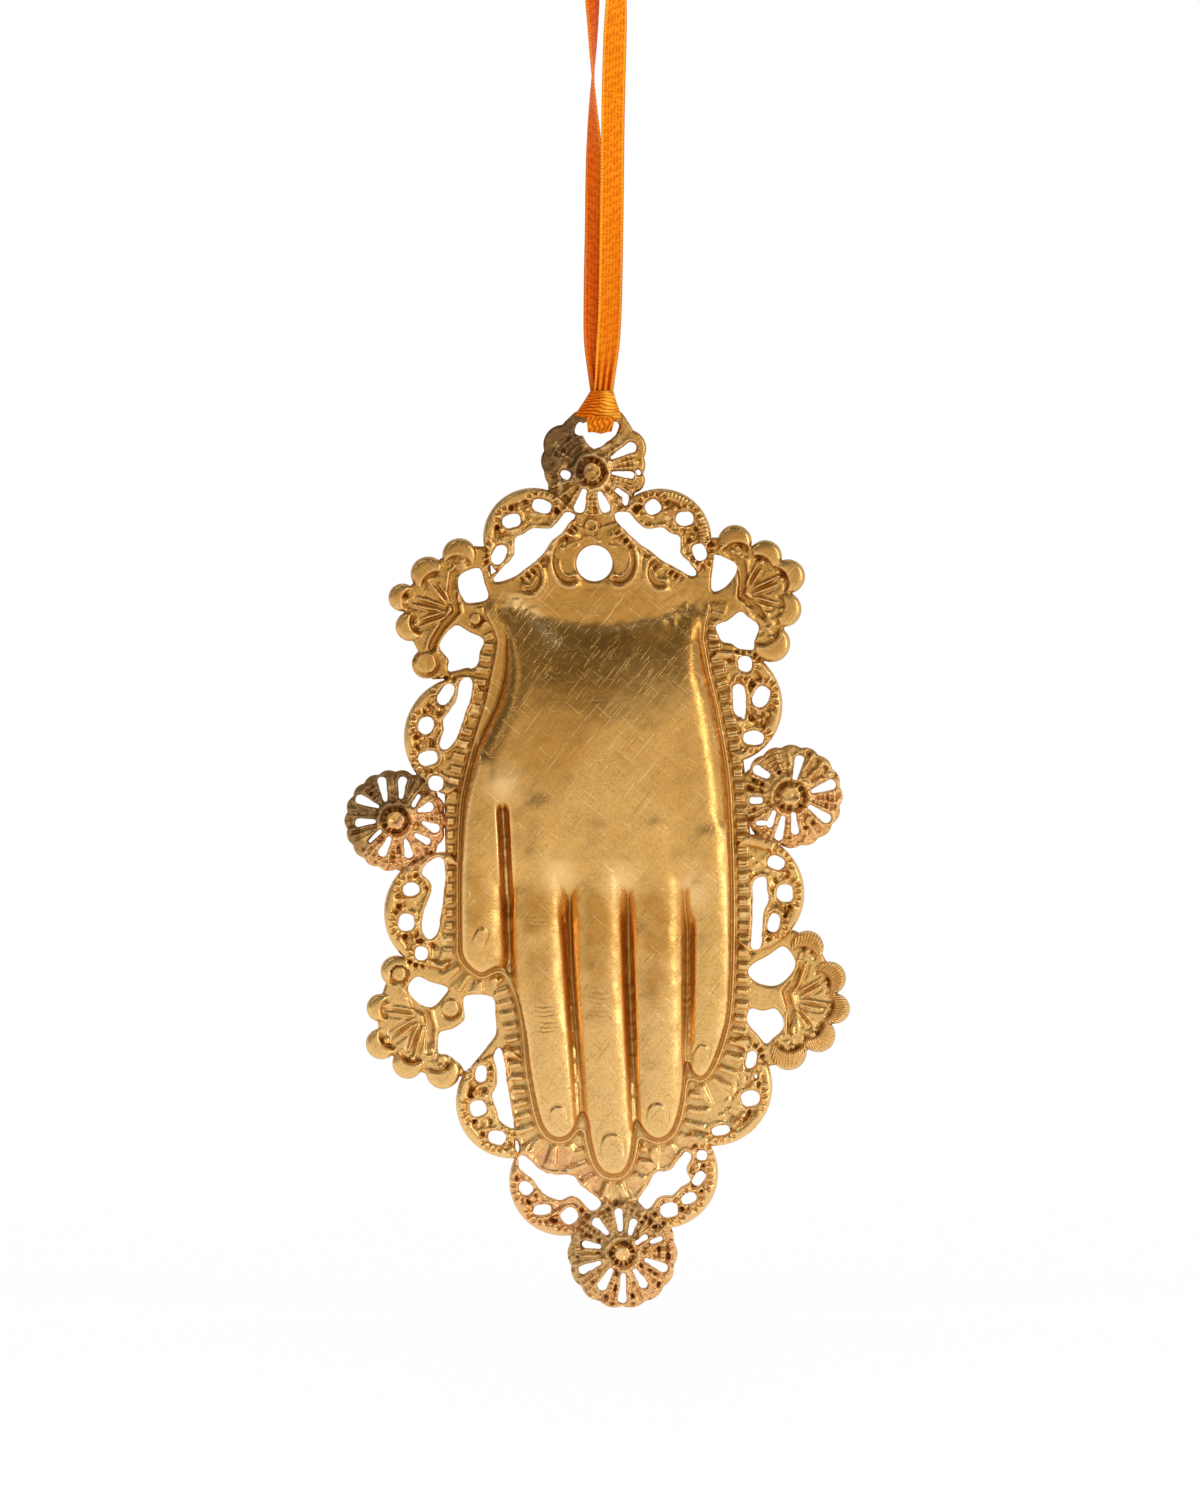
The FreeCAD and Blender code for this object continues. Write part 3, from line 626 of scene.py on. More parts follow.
@dataclass
class Scroll(Motif):
    """A round scroll of the border: a smooth rim, pierced eyes with collars, and a crescent cut inside it."""

    centre: Place
    radius: float
    eyes: Sequence[Tuple[float, float, float, float, float]]
    crescent: Line
    rim: float = 1.45
    milled: bool = False
    copper: float = 0.0
    seed: int = 1
    hatch: float = 0.55
    bar_pitch: Place = (0.72, 0.85)

    def outline(self, sheet: Sheet) -> None:
        """Adds the scroll's plate."""
        sheet.disc(self.centre, self.radius)

    def pierce(self, sheet: Sheet) -> None:
        """Saws out the eyes and the crescent.

        Args:
            sheet: the sheet.
        """
        for x, z, width, height, tilt in self.eyes:
            window = sheet.near((x, z), max(width, height))
            k, _ = sheet.oval(window, (x, z), (width / 2, height / 2), tilt, 2.5)
            sheet.cut(Cut.OPENING, window, (k - 1) * min(width, height) / 2)
        sheet.ring(Cut.OPENING, self.crescent)

    def strike(self, sheet: Sheet) -> None:
        """Strikes the rim, the bars round the eyes and along the crescent, and the pearls.

        Args:
            sheet: the sheet.
        """
        window = sheet.near(self.centre, self.radius + 0.5)
        rho, angle = sheet.spot(window, self.centre)
        own = rho - self.radius
        alone = 1 - step(own - sheet.outer[window], 0.05, 0.7)
        across = np.clip(np.abs(own + self.rim * 0.52) / (self.rim * 0.62), 0, 1)
        bead = np.sqrt(1 - across ** 2) * 0.85 * alone
        sheet.strike(window, BORDER - 0.1 + bead, 0.05)
        if self.milled:
            sheet.note("milling", window, (angle + math.pi) * self.radius / self.hatch)
            sheet.note("milled", window, hump(own + 0.95, 0.55) * alone)
        sheet.note("lace", window, alone * step(-own, self.rim - 0.3, self.rim + 0.2))
        sheet.note("copper", window, alone * self.copper)
        for number, (x, z, width, height, _) in enumerate(self.eyes):
            self._bars(sheet, (x, z), (width / 2, height / 2), number)
        self._crescent_bars(sheet)
        self._pearls(sheet)

    def _bars(self, sheet: Sheet, eye: Place, halves: Place, number: int) -> None:
        """Cuts the short bars round an eye, on its side towards the rim.

        Args:
            sheet: the sheet.
            eye: the eye's middle.
            halves: half its width and height.
            number: which eye it is.
        """
        window = sheet.near(eye, max(halves) + 2.0)
        rho, angle = sheet.spot(window, eye)
        edge = rho - (halves[0] * np.abs(np.cos(angle)) + halves[1] * np.abs(np.sin(angle)))
        count = round(ROUND * (sum(halves) / 2 + 0.5) / self.bar_pitch[0])
        away = math.atan2(eye[1] - self.centre[1], eye[0] - self.centre[0])
        band = hump(edge - 0.52, 0.34) * step(np.cos(angle - away), -0.3, 0.25)
        sheet.chase(window, band * (0.30 * np.cos(count * angle + number) - 0.08), "band")

    def _crescent_bars(self, sheet: Sheet) -> None:
        """Cuts the short bars along the crescent's outer side, inside its smooth narrow rim.

        Args:
            sheet: the sheet.
        """
        window = sheet.about(self.crescent, 2.2)
        edge, along = ring_distance(smooth_ring(self.crescent, 3), sheet.x[window], sheet.z[window])
        rho = sheet.spot(window, self.centre)[0]
        middle = float(np.mean([math.dist(place, self.centre) for place in self.crescent]))
        outer = step(rho, middle - 0.4, middle + 0.5) * (rho < self.radius - self.rim * 0.5)
        bars = 0.32 * np.cos(ROUND * along / self.bar_pitch[1]) - 0.10
        sheet.chase(window, (0.28 * hump(edge - 0.3, 0.22) + hump(edge - 0.95, 0.34) * bars) * outer, "band")

    def _pearls(self, sheet: Sheet) -> None:
        """Strikes two pearls between each eye and the next.

        Args:
            sheet: the sheet.
        """
        pearls = np.random.default_rng(self.seed)
        middle = self.radius - self.rim - 0.9
        turns = [math.atan2(z - self.centre[1], x - self.centre[0]) for x, z, *_ in self.eyes]
        for a, b in zip(turns, turns[1:]):
            gap = (b - a + math.pi) % ROUND - math.pi
            for share in (0.40, 0.60):
                turn = a + gap * share
                reach = middle + pearls.uniform(-0.7, 0.5)
                place = (self.centre[0] + reach * math.cos(turn), self.centre[1] + reach * math.sin(turn))
                sheet.pearl(place, pearls.uniform(0.36, 0.52), 0.6)


@dataclass
class Shell(Motif):
    """A shell of the border: convex lobes round a fan of leaves, with a groove beside its openings."""

    body: Line
    focus: Place
    lobes: Sequence[Triple]
    openings: Sequence[Line]
    ridge: Line
    beads: Sequence[Triple] = ()
    milled: bool = False
    hatch: Place = (9.0, 0.42)

    def outline(self, sheet: Sheet) -> None:
        """Adds the shell's plate.

        Args:
            sheet: the sheet.
        """
        sheet.ring(Cut.METAL, self.body, 1, 2.0)
        for x, z, radius in (*self.lobes, *self.beads):
            sheet.disc((x, z), radius)

    def pierce(self, sheet: Sheet) -> None:
        """Saws out the openings."""
        for opening in self.openings:
            sheet.ring(Cut.OPENING, opening)

    def strike(self, sheet: Sheet) -> None:
        """Strikes the scalloped rim, the leaves, the groove and the discs.

        Args:
            sheet: the sheet.
        """
        window = sheet.about([(x, z) for x, z, _ in self.lobes] + [self.focus], 3.0)
        x, z = sheet.x[window], sheet.z[window]
        rim, inward = (np.full(x.shape, FAR, np.float32) for _ in range(2))
        for lx, lz, radius in self.lobes:
            rim = np.minimum(rim, np.hypot(x - lx, z - lz) - radius)
            away = math.atan2(lz - self.focus[1], lx - self.focus[0])
            inner = (lx - radius * math.cos(away), lz - radius * math.sin(away))
            inward = np.minimum(inward, np.hypot(x - inner[0], z - inner[1]) - radius * 0.95)
        depth = -np.minimum(rim, 0)
        scallop = np.sqrt(np.clip(1 - np.clip(1 - depth / 1.15, 0, 1) ** 2, 0, 1)) * (depth > 0)
        outside = step(inward, -0.25, 0.25)
        sheet.strike(window, BORDER - 0.05 + 0.62 * scallop * outside - 2.0 * (depth <= 0), 0.10)
        recess = hump(inward + 0.28, 0.30) * (depth > 0.2)
        sheet.chase(window, -0.30 * recess * np.clip(0.55 + 0.75 * cloud(x, z, 0.75, 31), 0.0, 1.3))
        if self.milled:
            turn = np.arctan2(z - self.focus[1], x - self.focus[0]) + math.pi
            hatch = turn * self.hatch[0] / self.hatch[1]
            sheet.note("milling", window, hatch)
            sheet.note("milled", window, outside * (depth > 0))
            sheet.chase(window, 0.06 * np.sin(ROUND * hatch) * outside * (depth > 0))
        self._fan(sheet)
        self._groove(sheet)
        for bx, bz, radius in self.beads:
            window = sheet.near((bx, bz), radius + 0.5)
            rho, angle = sheet.spot(window, (bx, bz))
            wall = 0.42 * hump(rho - radius * 0.74, 0.2) * step(np.cos(angle + 0.9), -0.6, 0.6)
            flat = BORDER + 0.32 * step(radius * 0.80 - rho, 0, 0.15)
            sheet.rise[window] = np.where(rho < radius * 0.9, flat - wall, sheet.rise[window] - wall)

    def _fan(self, sheet: Sheet) -> None:
        """Strikes two leaves towards each lobe, and a pearl in it.

        Args:
            sheet: the sheet.
        """
        draw = np.random.default_rng(int(abs(self.focus[0]) * 10))
        for lx, lz, radius in self.lobes:
            away = math.atan2(lz - self.focus[1], lx - self.focus[0])
            reach = math.dist((lx, lz), self.focus) - radius * 0.35
            for turn, length in ((-0.13, 0.80), (0.13, 0.95)):
                line = [(self.focus[0] + r * math.cos(away + t), self.focus[1] + r * math.sin(away + t))
                        for r, t in ((1.5, turn * 1.7), (reach * 0.6, turn), (reach * length, turn * 0.75))]
                self._leaf(sheet, line, 0.26 + 0.12 * draw.uniform(-1, 1))
            place = (lx - 0.35 * radius * math.cos(away + draw.uniform(-0.8, 0.8)),
                     lz - 0.35 * radius * math.sin(away + draw.uniform(-0.8, 0.8)))
            sheet.pearl(place, draw.uniform(0.3, 0.5), 0.45)

    def _groove(self, sheet: Sheet) -> None:
        """Presses the deep groove beside the openings, with a fine raised edge.

        Args:
            sheet: the sheet.
        """
        window = sheet.about(self.ridge, 1.5)
        away, share = line_distance(self.ridge, sheet.x[window], sheet.z[window])
        ends = step(share, 0.0, 0.12) * (1 - step(share, 0.88, 1.0))
        sheet.chase(window, 0.20 * hump(away - 0.72, 0.2) - 0.60 * hump(away, 0.34) * ends)

    @staticmethod
    def _leaf(sheet: Sheet, line: Line, height: float) -> None:
        """Strikes a sharp leaf along a line of three points, and a shallow groove beside it.

        Args:
            sheet: the sheet.
            line: the leaf's middle line.
            height: how far it stands up.
        """
        window = sheet.about(line, 1.5)
        away, _ = line_distance(line, sheet.x[window], sheet.z[window], [0.03, 0.15, 0.05])
        sheet.chase(window, height * (1 - step(away, -0.20, 0.16)) - 0.14 * hump(away - 0.3, 0.2))


@dataclass
class Rosette(Motif):
    """A rosette of the border: petals between slots, round a ring with a flat boss in it."""

    centre: Place
    radius: float
    slots: Sequence[Tuple[float, float, float, float, float, float]]
    waves: int = 15
    boss: float = 1.2
    ring: float = 1.75
    tarnish: float = 0.0
    copper: float = 0.0
    grain: float = 1.0

    def outline(self, sheet: Sheet) -> None:
        """Adds the rosette's wavy plate.

        Args:
            sheet: the sheet.
        """
        window = sheet.near(self.centre, self.radius + 2)
        rho, angle = sheet.spot(window, self.centre)
        wave = 0.30 * np.abs(np.cos(angle * self.waves / 2)) - 0.15
        sheet.cut(Cut.METAL, window, rho - self.radius - wave)

    def pierce(self, sheet: Sheet) -> None:
        """Saws out the slots, each a line with a half width at either end.

        Args:
            sheet: the sheet.
        """
        for ax, az, bx, bz, start, end in self.slots:
            line = ((ax, az), (bx, bz))
            window = sheet.about(line, 2.0)
            away, _ = line_distance(line, sheet.x[window], sheet.z[window], [start, end])
            sheet.cut(Cut.OPENING, window, away)

    def strike(self, sheet: Sheet) -> None:
        """Strikes the petals, the smooth ring, the beads and the flat boss.

        Args:
            sheet: the sheet.
        """
        window = sheet.near(self.centre, self.radius + 0.5)
        x, z = sheet.x[window], sheet.z[window]
        rho, angle = sheet.spot(window, self.centre)
        near = step(self.radius + 1.0 - rho, 0, 1.5)
        inside = step(self.radius + 0.3 - rho, 0, 0.8)
        dish = BORDER + 0.30 * hump((rho - self.radius * 0.62) / self.radius, 0.35)
        sheet.strike(window, dish * inside, 0.1)
        reach = step(rho, self.ring + 1.0, self.ring + 1.6) * step(self.radius - rho, 0.1, 0.7)
        bars = 0.14 * np.cos(rho * ROUND / 0.62) * step(np.sin(angle * 3 + 1.0), -0.2, 0.6)
        sheet.add(window, reach * (self._petals(rho, angle) * 0.42 - 0.18 + bars))
        ring = hump(rho - (self.ring + 0.45), 0.42) * 0.55
        uneven = np.clip(0.50 + 0.75 * cloud(x, z, 1.2, 43), 0.1, 1.2)
        beads = (0.5 + 0.5 * np.cos(angle * 13 + 0.6 + 0.8 * cloud(x, z, 2.0, 44))) * uneven
        beads *= hump(rho - self.ring + 0.28, 0.22) * 0.5
        moat = hump(rho - self.ring + 0.28, 0.26) * 0.38
        sheet.add(window, ring + beads - moat + step(self.boss - rho, -0.1, 0.12) * 0.25)
        pits = np.clip(cloud(x, z, 0.55, 41) - 0.25, 0, 1) * step(rho, self.boss, self.boss + 0.4)
        sheet.add(window, -0.55 * pits * near * self.grain)
        sheet.note("grain", window, near * self.grain * step(rho, 1.0, 1.6))
        sheet.note("tarnish", window, near * self.tarnish * step(np.cos(angle - 2.3), -0.45, 0.45)
                   * step(rho, 1.0, 1.5))
        sheet.note("copper", window, near * self.copper * step(np.cos(angle + 0.9), -0.5, 0.5))
        sheet.note("lace", window, near * 0.7)

    def _petals(self, rho: np.ndarray, angle: np.ndarray) -> np.ndarray:
        """The two or three ridges between each slot and the next.

        Args:
            rho: the distance from the centre.
            angle: the angle about it.

        Returns:
            Their height, from 0 to 1.
        """
        petal = np.zeros_like(rho)
        turns = sorted(math.atan2((az + bz) / 2 - self.centre[1], (ax + bx) / 2 - self.centre[0])
                       for ax, az, bx, bz, _, _ in self.slots)
        for a, b in zip(turns, turns[1:] + [turns[0] + ROUND]):
            for share in (0.24, 0.5, 0.76) if b - a > 0.42 else (0.35, 0.65):
                side = (angle - (a + (b - a) * share) + math.pi) % ROUND - math.pi
                petal = np.maximum(petal, hump(side * rho, 0.22 + 0.02 * rho))
        return petal


@dataclass
class Pediment(Motif):
    """The plate over the wrist: the nail hole between two horns, crossing ribs and two small scrolls."""

    plate: Line = (
        (-14.4, -17.5), (-13.6, -13.6), (-6.0, -8.6), (-2.2, -3.8), (2.6, -3.8), (6.2, -8.0), (14.2, -12.6),
        (15.6, -16.5), (12.0, -22.0), (-10.0, -22.0))
    nail: Triple = (0.3, -11.7, 2.3)
    horns: Sequence[Tuple[Place, Place, int, float]] = (
        ((-2.9, -11.4), (1.75, 2.5), -1, 1.0), ((3.5, -11.4), (1.75, 2.5), 1, 1.0),
        ((-8.1, -13.6), (1.25, 1.5), 1, 0.8), ((8.8, -12.9), (1.25, 1.5), -1, 0.8))
    ribs: Sequence[Line] = (((-3.4, -6.6), (-1.2, -7.3), (0.9, -9.0)),
                            ((3.2, -6.6), (1.2, -7.2), (-1.2, -8.7), (-3.0, -9.4)))
    boss: Place = (-0.1, -6.9)

    def outline(self, sheet: Sheet) -> None:
        """Adds the plate."""
        sheet.ring(Cut.METAL, self.plate, 1, 2.0)

    def pierce(self, sheet: Sheet) -> None:
        """Punches the round nail hole.

        Args:
            sheet: the sheet.
        """
        x, z, radius = self.nail
        window = sheet.near((x, z), radius + 1)
        sheet.cut(Cut.OPENING, window, sheet.spot(window, (x, z))[0] - radius)

    def strike(self, sheet: Sheet) -> None:
        """Strikes the horns, ribs and boss.

        Args:
            sheet: the sheet.
        """
        for horn in self.horns:
            self._horn(sheet, *horn)
        for line in self.ribs:
            window = sheet.about(line, 1.5)
            away, _ = line_distance(line, sheet.x[window], sheet.z[window])
            sheet.strike(window, BORDER + 0.30 * hump(away, 0.2), 0.05)
        window = sheet.near(self.boss, 1.6)
        rho = sheet.spot(window, self.boss)[0]
        sheet.add(window, 0.30 * hump(rho - 0.72, 0.2) - 0.2 * hump(rho - 1.1, 0.2))

    @staticmethod
    def _horn(sheet: Sheet, middle: Place, radii: Place, side: int, strength: float) -> None:
        """Strikes a hook: a smooth swell round a dark groove, open on one side.

        Args:
            sheet: the sheet.
            middle: the hook's centre.
            radii: half the width and height of its groove.
            side: -1 where the hook's back is at the left, 1 where it is at the right.
            strength: how deep it is cut.
        """
        window = sheet.near(middle, max(radii) + 2.2)
        dx, dz = (sheet.x[window] - middle[0]) * side, sheet.z[window] - middle[1]
        edge = (np.hypot(dx / radii[0], dz / radii[1]) - 1) * (radii[0] + radii[1]) / 2
        turn = np.arctan2(dz / radii[1], dx / radii[0])
        back = step(np.cos(turn), -0.62, -0.30)
        swell = 0.55 * hump(edge - 0.75, 0.55) * step(np.cos(turn), -0.75, -0.2)
        lip = 0.30 * hump(edge + 0.42, 0.17) * back * step(-np.sin(turn), -0.5, 0.3)
        end = 0.35 * hump(np.hypot(dx + radii[0] * 0.45, np.abs(dz) - radii[1] * 0.78), 0.45)
        sheet.add(window, strength * (swell - 0.62 * hump(edge, 0.30) * back + lip + end))


@dataclass
class Finger:
    """One finger: its middle line with half widths, from the palm to its tip, and its nail."""

    line: Sequence[Triple]
    top: float
    tip_top: float
    nail: Tuple[float, float, float, float, float]
    creases: Sequence[Place] = ()

    def middle(self, height: np.ndarray) -> np.ndarray:
        """The x of its middle line at a height z."""
        return np.interp(-height, [-b for _, b, _ in self.line], [a for a, _, _ in self.line])


@dataclass
class Ground:
    """The hand's window on the sheet, with each point's distances from the drawn outlines."""

    window: Window
    x: np.ndarray
    z: np.ndarray
    to_foot: np.ndarray
    to_ledge: np.ndarray
    along: np.ndarray
    to_band: np.ndarray


@dataclass
class Hand(Motif):
    """The hollow hand seen from its back, with the ledge and the ribbed band round it."""

    foot: Line = (
        (-10.9, -15.8), (-11.1, -21.5), (-11.2, -25.8), (-12.3, -30.0), (-14.3, -34.2), (-15.6, -38.5),
        (-16.5, -43.0), (-16.9, -51.0), (-16.9, -59.0), (-16.6, -62.3), (-14.4, -64.4), (-11.7, -63.6),
        (-9.9, -66.5), (-8.7, -71.8), (-8.2, -76.0), (-7.5, -80.0), (-7.0, -82.2), (-6.4, -83.8),
        (-5.5, -85.0), (-4.2, -85.5), (-2.9, -85.0), (-2.0, -83.8), (-1.3, -82.2), (-0.7, -83.2),
        (-0.4, -85.2), (0.0, -87.0), (0.5, -88.6), (1.5, -89.8), (2.75, -90.2), (4.0, -89.8), (4.8, -88.5),
        (5.2, -86.8), (5.4, -85.0), (5.7, -83.2), (6.4, -84.2), (7.3, -85.2), (8.5, -85.6), (9.7, -85.1),
        (10.6, -83.9), (11.2, -82.0), (11.7, -79.4), (12.1, -75.8), (12.8, -77.0), (13.8, -77.7),
        (14.8, -77.1), (15.5, -75.8), (16.5, -73.2), (17.4, -69.7), (17.8, -63.4), (17.9, -55.5),
        (17.7, -47.0), (17.2, -38.5), (15.8, -30.0), (14.7, -25.8), (13.9, -21.5), (12.2, -14.6))
    ledge: Line = (
        (-12.0, -15.5), (-12.2, -21.5), (-13.0, -26.0), (-13.9, -30.0), (-15.2, -34.2), (-16.3, -38.5),
        (-17.1, -43.0), (-17.4, -51.0), (-17.4, -59.0), (-17.2, -62.5), (-14.4, -65.0), (-11.6, -64.3),
        (-9.9, -67.5), (-9.1, -71.8), (-8.7, -76.0), (-8.0, -80.2), (-7.4, -82.8), (-6.7, -84.6),
        (-5.6, -85.7), (-4.2, -86.1), (-2.8, -85.7), (-1.8, -84.6), (-1.2, -84.6), (-0.9, -86.0),
        (-0.5, -87.6), (0.1, -89.1), (1.2, -90.4), (2.75, -90.8), (4.3, -90.4), (5.3, -89.0), (5.8, -87.2),
        (6.1, -85.6), (6.7, -85.6), (7.6, -86.0), (8.6, -86.2), (10.0, -85.7), (11.1, -84.3), (11.9, -81.6),
        (12.3, -78.4), (12.9, -78.0), (13.8, -78.3), (15.1, -77.6), (16.1, -76.0), (17.0, -73.6),
        (17.9, -69.7), (18.3, -63.4), (18.4, -55.5), (18.2, -47.0), (17.7, -38.5), (16.2, -30.0),
        (15.2, -25.8), (14.4, -21.5), (12.7, -14.5))
    band: Line = (
        (-13.4, -14.6), (-14.0, -21.5), (-15.5, -26.0), (-16.7, -30.0), (-17.7, -34.2), (-18.6, -38.5),
        (-18.9, -42.7), (-18.8, -51.2), (-19.2, -59.7), (-20.0, -63.4), (-18.3, -66.6), (-14.0, -67.2),
        (-12.2, -69.0), (-11.5, -71.8), (-10.9, -76.0), (-10.5, -80.3), (-10.2, -84.1), (-9.1, -87.7),
        (-5.1, -90.0), (-2.6, -90.4), (-0.4, -92.9), (1.3, -94.4), (5.5, -94.4), (7.2, -90.5),
        (10.2, -89.5), (12.3, -87.4), (16.0, -83.0), (19.0, -77.0), (20.3, -69.7), (20.4, -55.5),
        (20.3, -47.0), (19.6, -38.5), (18.5, -30.0), (17.4, -25.8), (16.6, -21.5), (15.3, -14.6))
    valleys: Sequence[Line] = (
        ((-11.5, -42.2), (-11.2, -47.0), (-10.9, -54.0), (-10.6, -64.0)),
        ((-3.6, -55.0), (-3.0, -62.0), (-2.4, -70.7), (-1.6, -84.0)),
        ((4.3, -55.0), (4.9, -70.7), (5.5, -84.0)),
        ((12.5, -56.6), (12.4, -66.8), (12.3, -76.0)))
    valley_ends: Sequence[float] = (1.25, 0.0, 0.25, 0.4)
    valley_depth: float = 0.80
    knuckles: Line = ((-11.3, -40.0), (-4.3, -51.6), (3.7, -52.4), (12.8, -53.8))
    fingers: Sequence[Finger] = (
        Finger(((-14.3, -38.0, 2.2), (-14.4, -43.0, 2.45), (-14.2, -51.0, 2.6), (-14.2, -58.0, 2.6),
            (-14.2, -61.5, 2.5)), 4.15, 3.1, (-14.5, -60.0, 0.85, 1.9, -22)),
        Finger(((-6.3, -43.0, 2.9), (-6.6, -50.0, 3.0), (-6.8, -57.0, 2.95), (-6.3, -65.0, 2.9),
            (-5.6, -72.0, 2.95), (-4.8, -78.7, 2.85), (-4.3, -83.0, 2.4)), 4.6, 2.9,
            (-4.3, -82.6, 1.15, 1.5, 6), ((-69.0, 1.0), (-71.0, 0.8), (-57.5, 0.35))),
        Finger(((0.7, -46.0, 3.2), (0.9, -51.0, 3.1), (1.05, -57.0, 2.85), (1.1, -65.0, 2.8),
            (1.65, -73.0, 2.7), (2.25, -80.4, 2.7), (2.75, -87.2, 2.5)), 4.78, 2.9,
            (2.6, -86.9, 1.5, 2.3, 4), ((-67.3, 0.5), (-69.0, 0.3))),
        Finger(((7.9, -46.0, 3.2), (8.1, -51.0, 3.2), (8.4, -57.0, 3.0), (8.55, -65.0, 2.9),
            (8.7, -76.0, 2.75), (8.55, -82.6, 2.6)), 4.65, 2.9, (8.3, -82.8, 1.4, 2.1, -2), ((-68.5, 0.2),)),
        Finger(((14.6, -47.0, 2.9), (15.0, -52.0, 2.8), (15.4, -59.0, 2.75), (15.1, -66.0, 2.6),
            (14.6, -72.0, 2.3), (14.1, -75.4, 2.0)), 4.3, 2.8, (14.0, -74.6, 1.0, 1.4, -18)))
    pitch: float = 1.65
    ledge_rise: float = 1.2
    low: float = 0.85
    palm: float = 3.95
    highest: float = 5.3
    spread: float = 1.05
    wrist: Place = (1.2, -17.2)

    def outline(self, sheet: Sheet) -> None:
        """Adds the band's plate."""
        sheet.ring(Cut.METAL, self.band, 3, 2.0)

    def strike(self, sheet: Sheet) -> None:
        """Strikes the ribs, the ledge and the hand.

        Args:
            sheet: the sheet.
        """
        window = sheet.about(self.band, 1.0)
        x, z = sheet.x[window], sheet.z[window]
        to_ledge, along = ring_distance(smooth_ring(self.ledge, 4), x, z)
        to_band = ring_distance(smooth_ring(self.band, 3), x, z)[0]
        to_foot = ring_distance(smooth_ring(self.foot, 4), x, z)[0]
        ground = Ground(window, x, z, to_foot, to_ledge, along, to_band)
        under_wrist = step(-z, 16.0, 18.5)
        sheet.add(window, under_wrist * self._ribs(ground))
        shelf = BORDER + (self.ledge_rise - BORDER) * (1 - step(to_ledge, -0.20, 0.16)) * under_wrist
        sheet.strike(window, shelf, 0.05)
        sheet.add(window, -0.10 * hump(to_foot - 0.05, 0.14) * under_wrist)
        sheet.add(window, 0.10 * hump(to_ledge + 0.14, 0.16) * under_wrist)
        inside = 1 - step(to_foot, -0.32, 0.0)
        sheet.rise[window] = sheet.rise[window] * (1 - inside) + self._body(ground) * inside
        self._wrist_fold(sheet, ground)
        self._paint_light_and_wear(sheet, ground)
        sheet.note("hand", window, (1 - step(to_ledge, -0.1, 0.3)) * step(-z, 15.0, 17.5))
        sheet.note("band", window, (1 - step(to_band, -0.5, 0.1)) * step(-z, 17.0, 20.0))
        for finger in self.fingers:
            self._nail(sheet, finger)
            self._creases(sheet, finger)

    def _ribs(self, ground: Ground) -> np.ndarray:
        """The ribs between the ledge and the band's edge.

        Args:
            ground: the hand's window.

        Returns:
            Their height.
        """
        x, z, to_ledge = ground.x, ground.z, ground.to_ledge
        away = ((ground.along + 0.22 * cloud(x, z, 3.0, 5)) / self.pitch % 1.0 - 0.5) * self.pitch
        length = (step(to_ledge, 0.15, 0.50) * step(-ground.to_band, 0.10, 0.45)
                  * (1 - step(to_ledge, 2.8, 3.4)))
        # uneven wear of the ribs' height
        wear_and_light = np.clip(0.85 + 0.35 * cloud(x, z, 1.7, 6), 0.3, 1.3)
        slit = hump(away, 0.22) * 0.95
        lip = hump(away - 0.36, 0.16) * 0.60 * step(-z, 75.0, 45.0)
        swell = 0.26 * np.cos((away / self.pitch + 0.48) * ROUND) + 0.20
        return length * wear_and_light * (lip + swell - slit)

    def _body(self, ground: Ground) -> np.ndarray:
        """The rise of palm and fingers together.

        Args:
            ground: the hand's window.

        Returns:
            The rise over the back plane.
        """
        x, z, low = ground.x, ground.z, self.low
        depth = np.clip(-ground.to_foot, 0, None)
        flank = np.sqrt(np.clip(1 - np.clip(1 - depth / 3.6, 0, 1) ** 2.2, 0, 1))
        crown = (0.95 - 0.30 * step(-z, 33.0, 50.0)) * hump((x - 1.5) / 13.0, 0.8)
        palm = low + (self.palm + crown - low) * flank
        whole = low + (palm - low) * (1 - step(-z, 49.5, 58.5))
        for finger in self.fingers:
            widths = [w + self.spread for _, _, w in finger.line]
            away, share = line_distance([(a, b) for a, b, _ in finger.line], x, z, widths)
            width = np.interp(share * (len(widths) - 1), range(len(widths)), widths)
            round_top = np.clip(1 - (1 - np.clip(-away / width, 0, 1)) ** 2.1, 0, 1) ** (1 / 1.95)
            top = finger.top + (finger.tip_top - finger.top) * share ** 1.5
            rise = low + (top - low) * round_top
            whole = rounder(whole, np.where(away < 0, rise, low).astype(np.float32), 0.22)
        for line, deeper in zip(self.valleys, self.valley_ends):
            away, share = line_distance(line, x, z)
            depth = self.valley_depth + deeper * (1 - step(share, 0.42, 0.82))
            depth = depth * (1 - 0.5 * step(share, 0.6, 1.0))
            whole = whole - depth * (1 - step(away, 0.0, 1.0)) * step(share, -0.03, 0.14)
            whole += 0.22 * hump(away, 0.13) * (0.7 + 0.7 * cloud(x, z, 0.5, 18)) * step(share, 0.0, 0.08)
        for a, b in self.knuckles:
            whole += 0.17 * hump(np.hypot(x - a, z - b), 2.0)
        outer = np.clip(1 - np.clip(1 + ground.to_foot / 2.7, 0, 1) ** 2.2, 0, 1) ** (1 / 1.95)
        whole = np.minimum(whole, low + (self.highest - low) * outer)
        whole += 0.10 * cloud(x, z, 5.5, 14) * outer + 0.035 * cloud(x, z, 1.6, 15) * outer
        return (BORDER + (whole - BORDER) * self._ramp(x, z)).astype(np.float32)

    def _fold(self, x: np.ndarray) -> np.ndarray:
        """The height z of the fold across the wrist."""
        return self.wrist[1] - 2.5 * np.clip(1 - ((x - self.wrist[0]) / 11.5) ** 2, 0, 1)

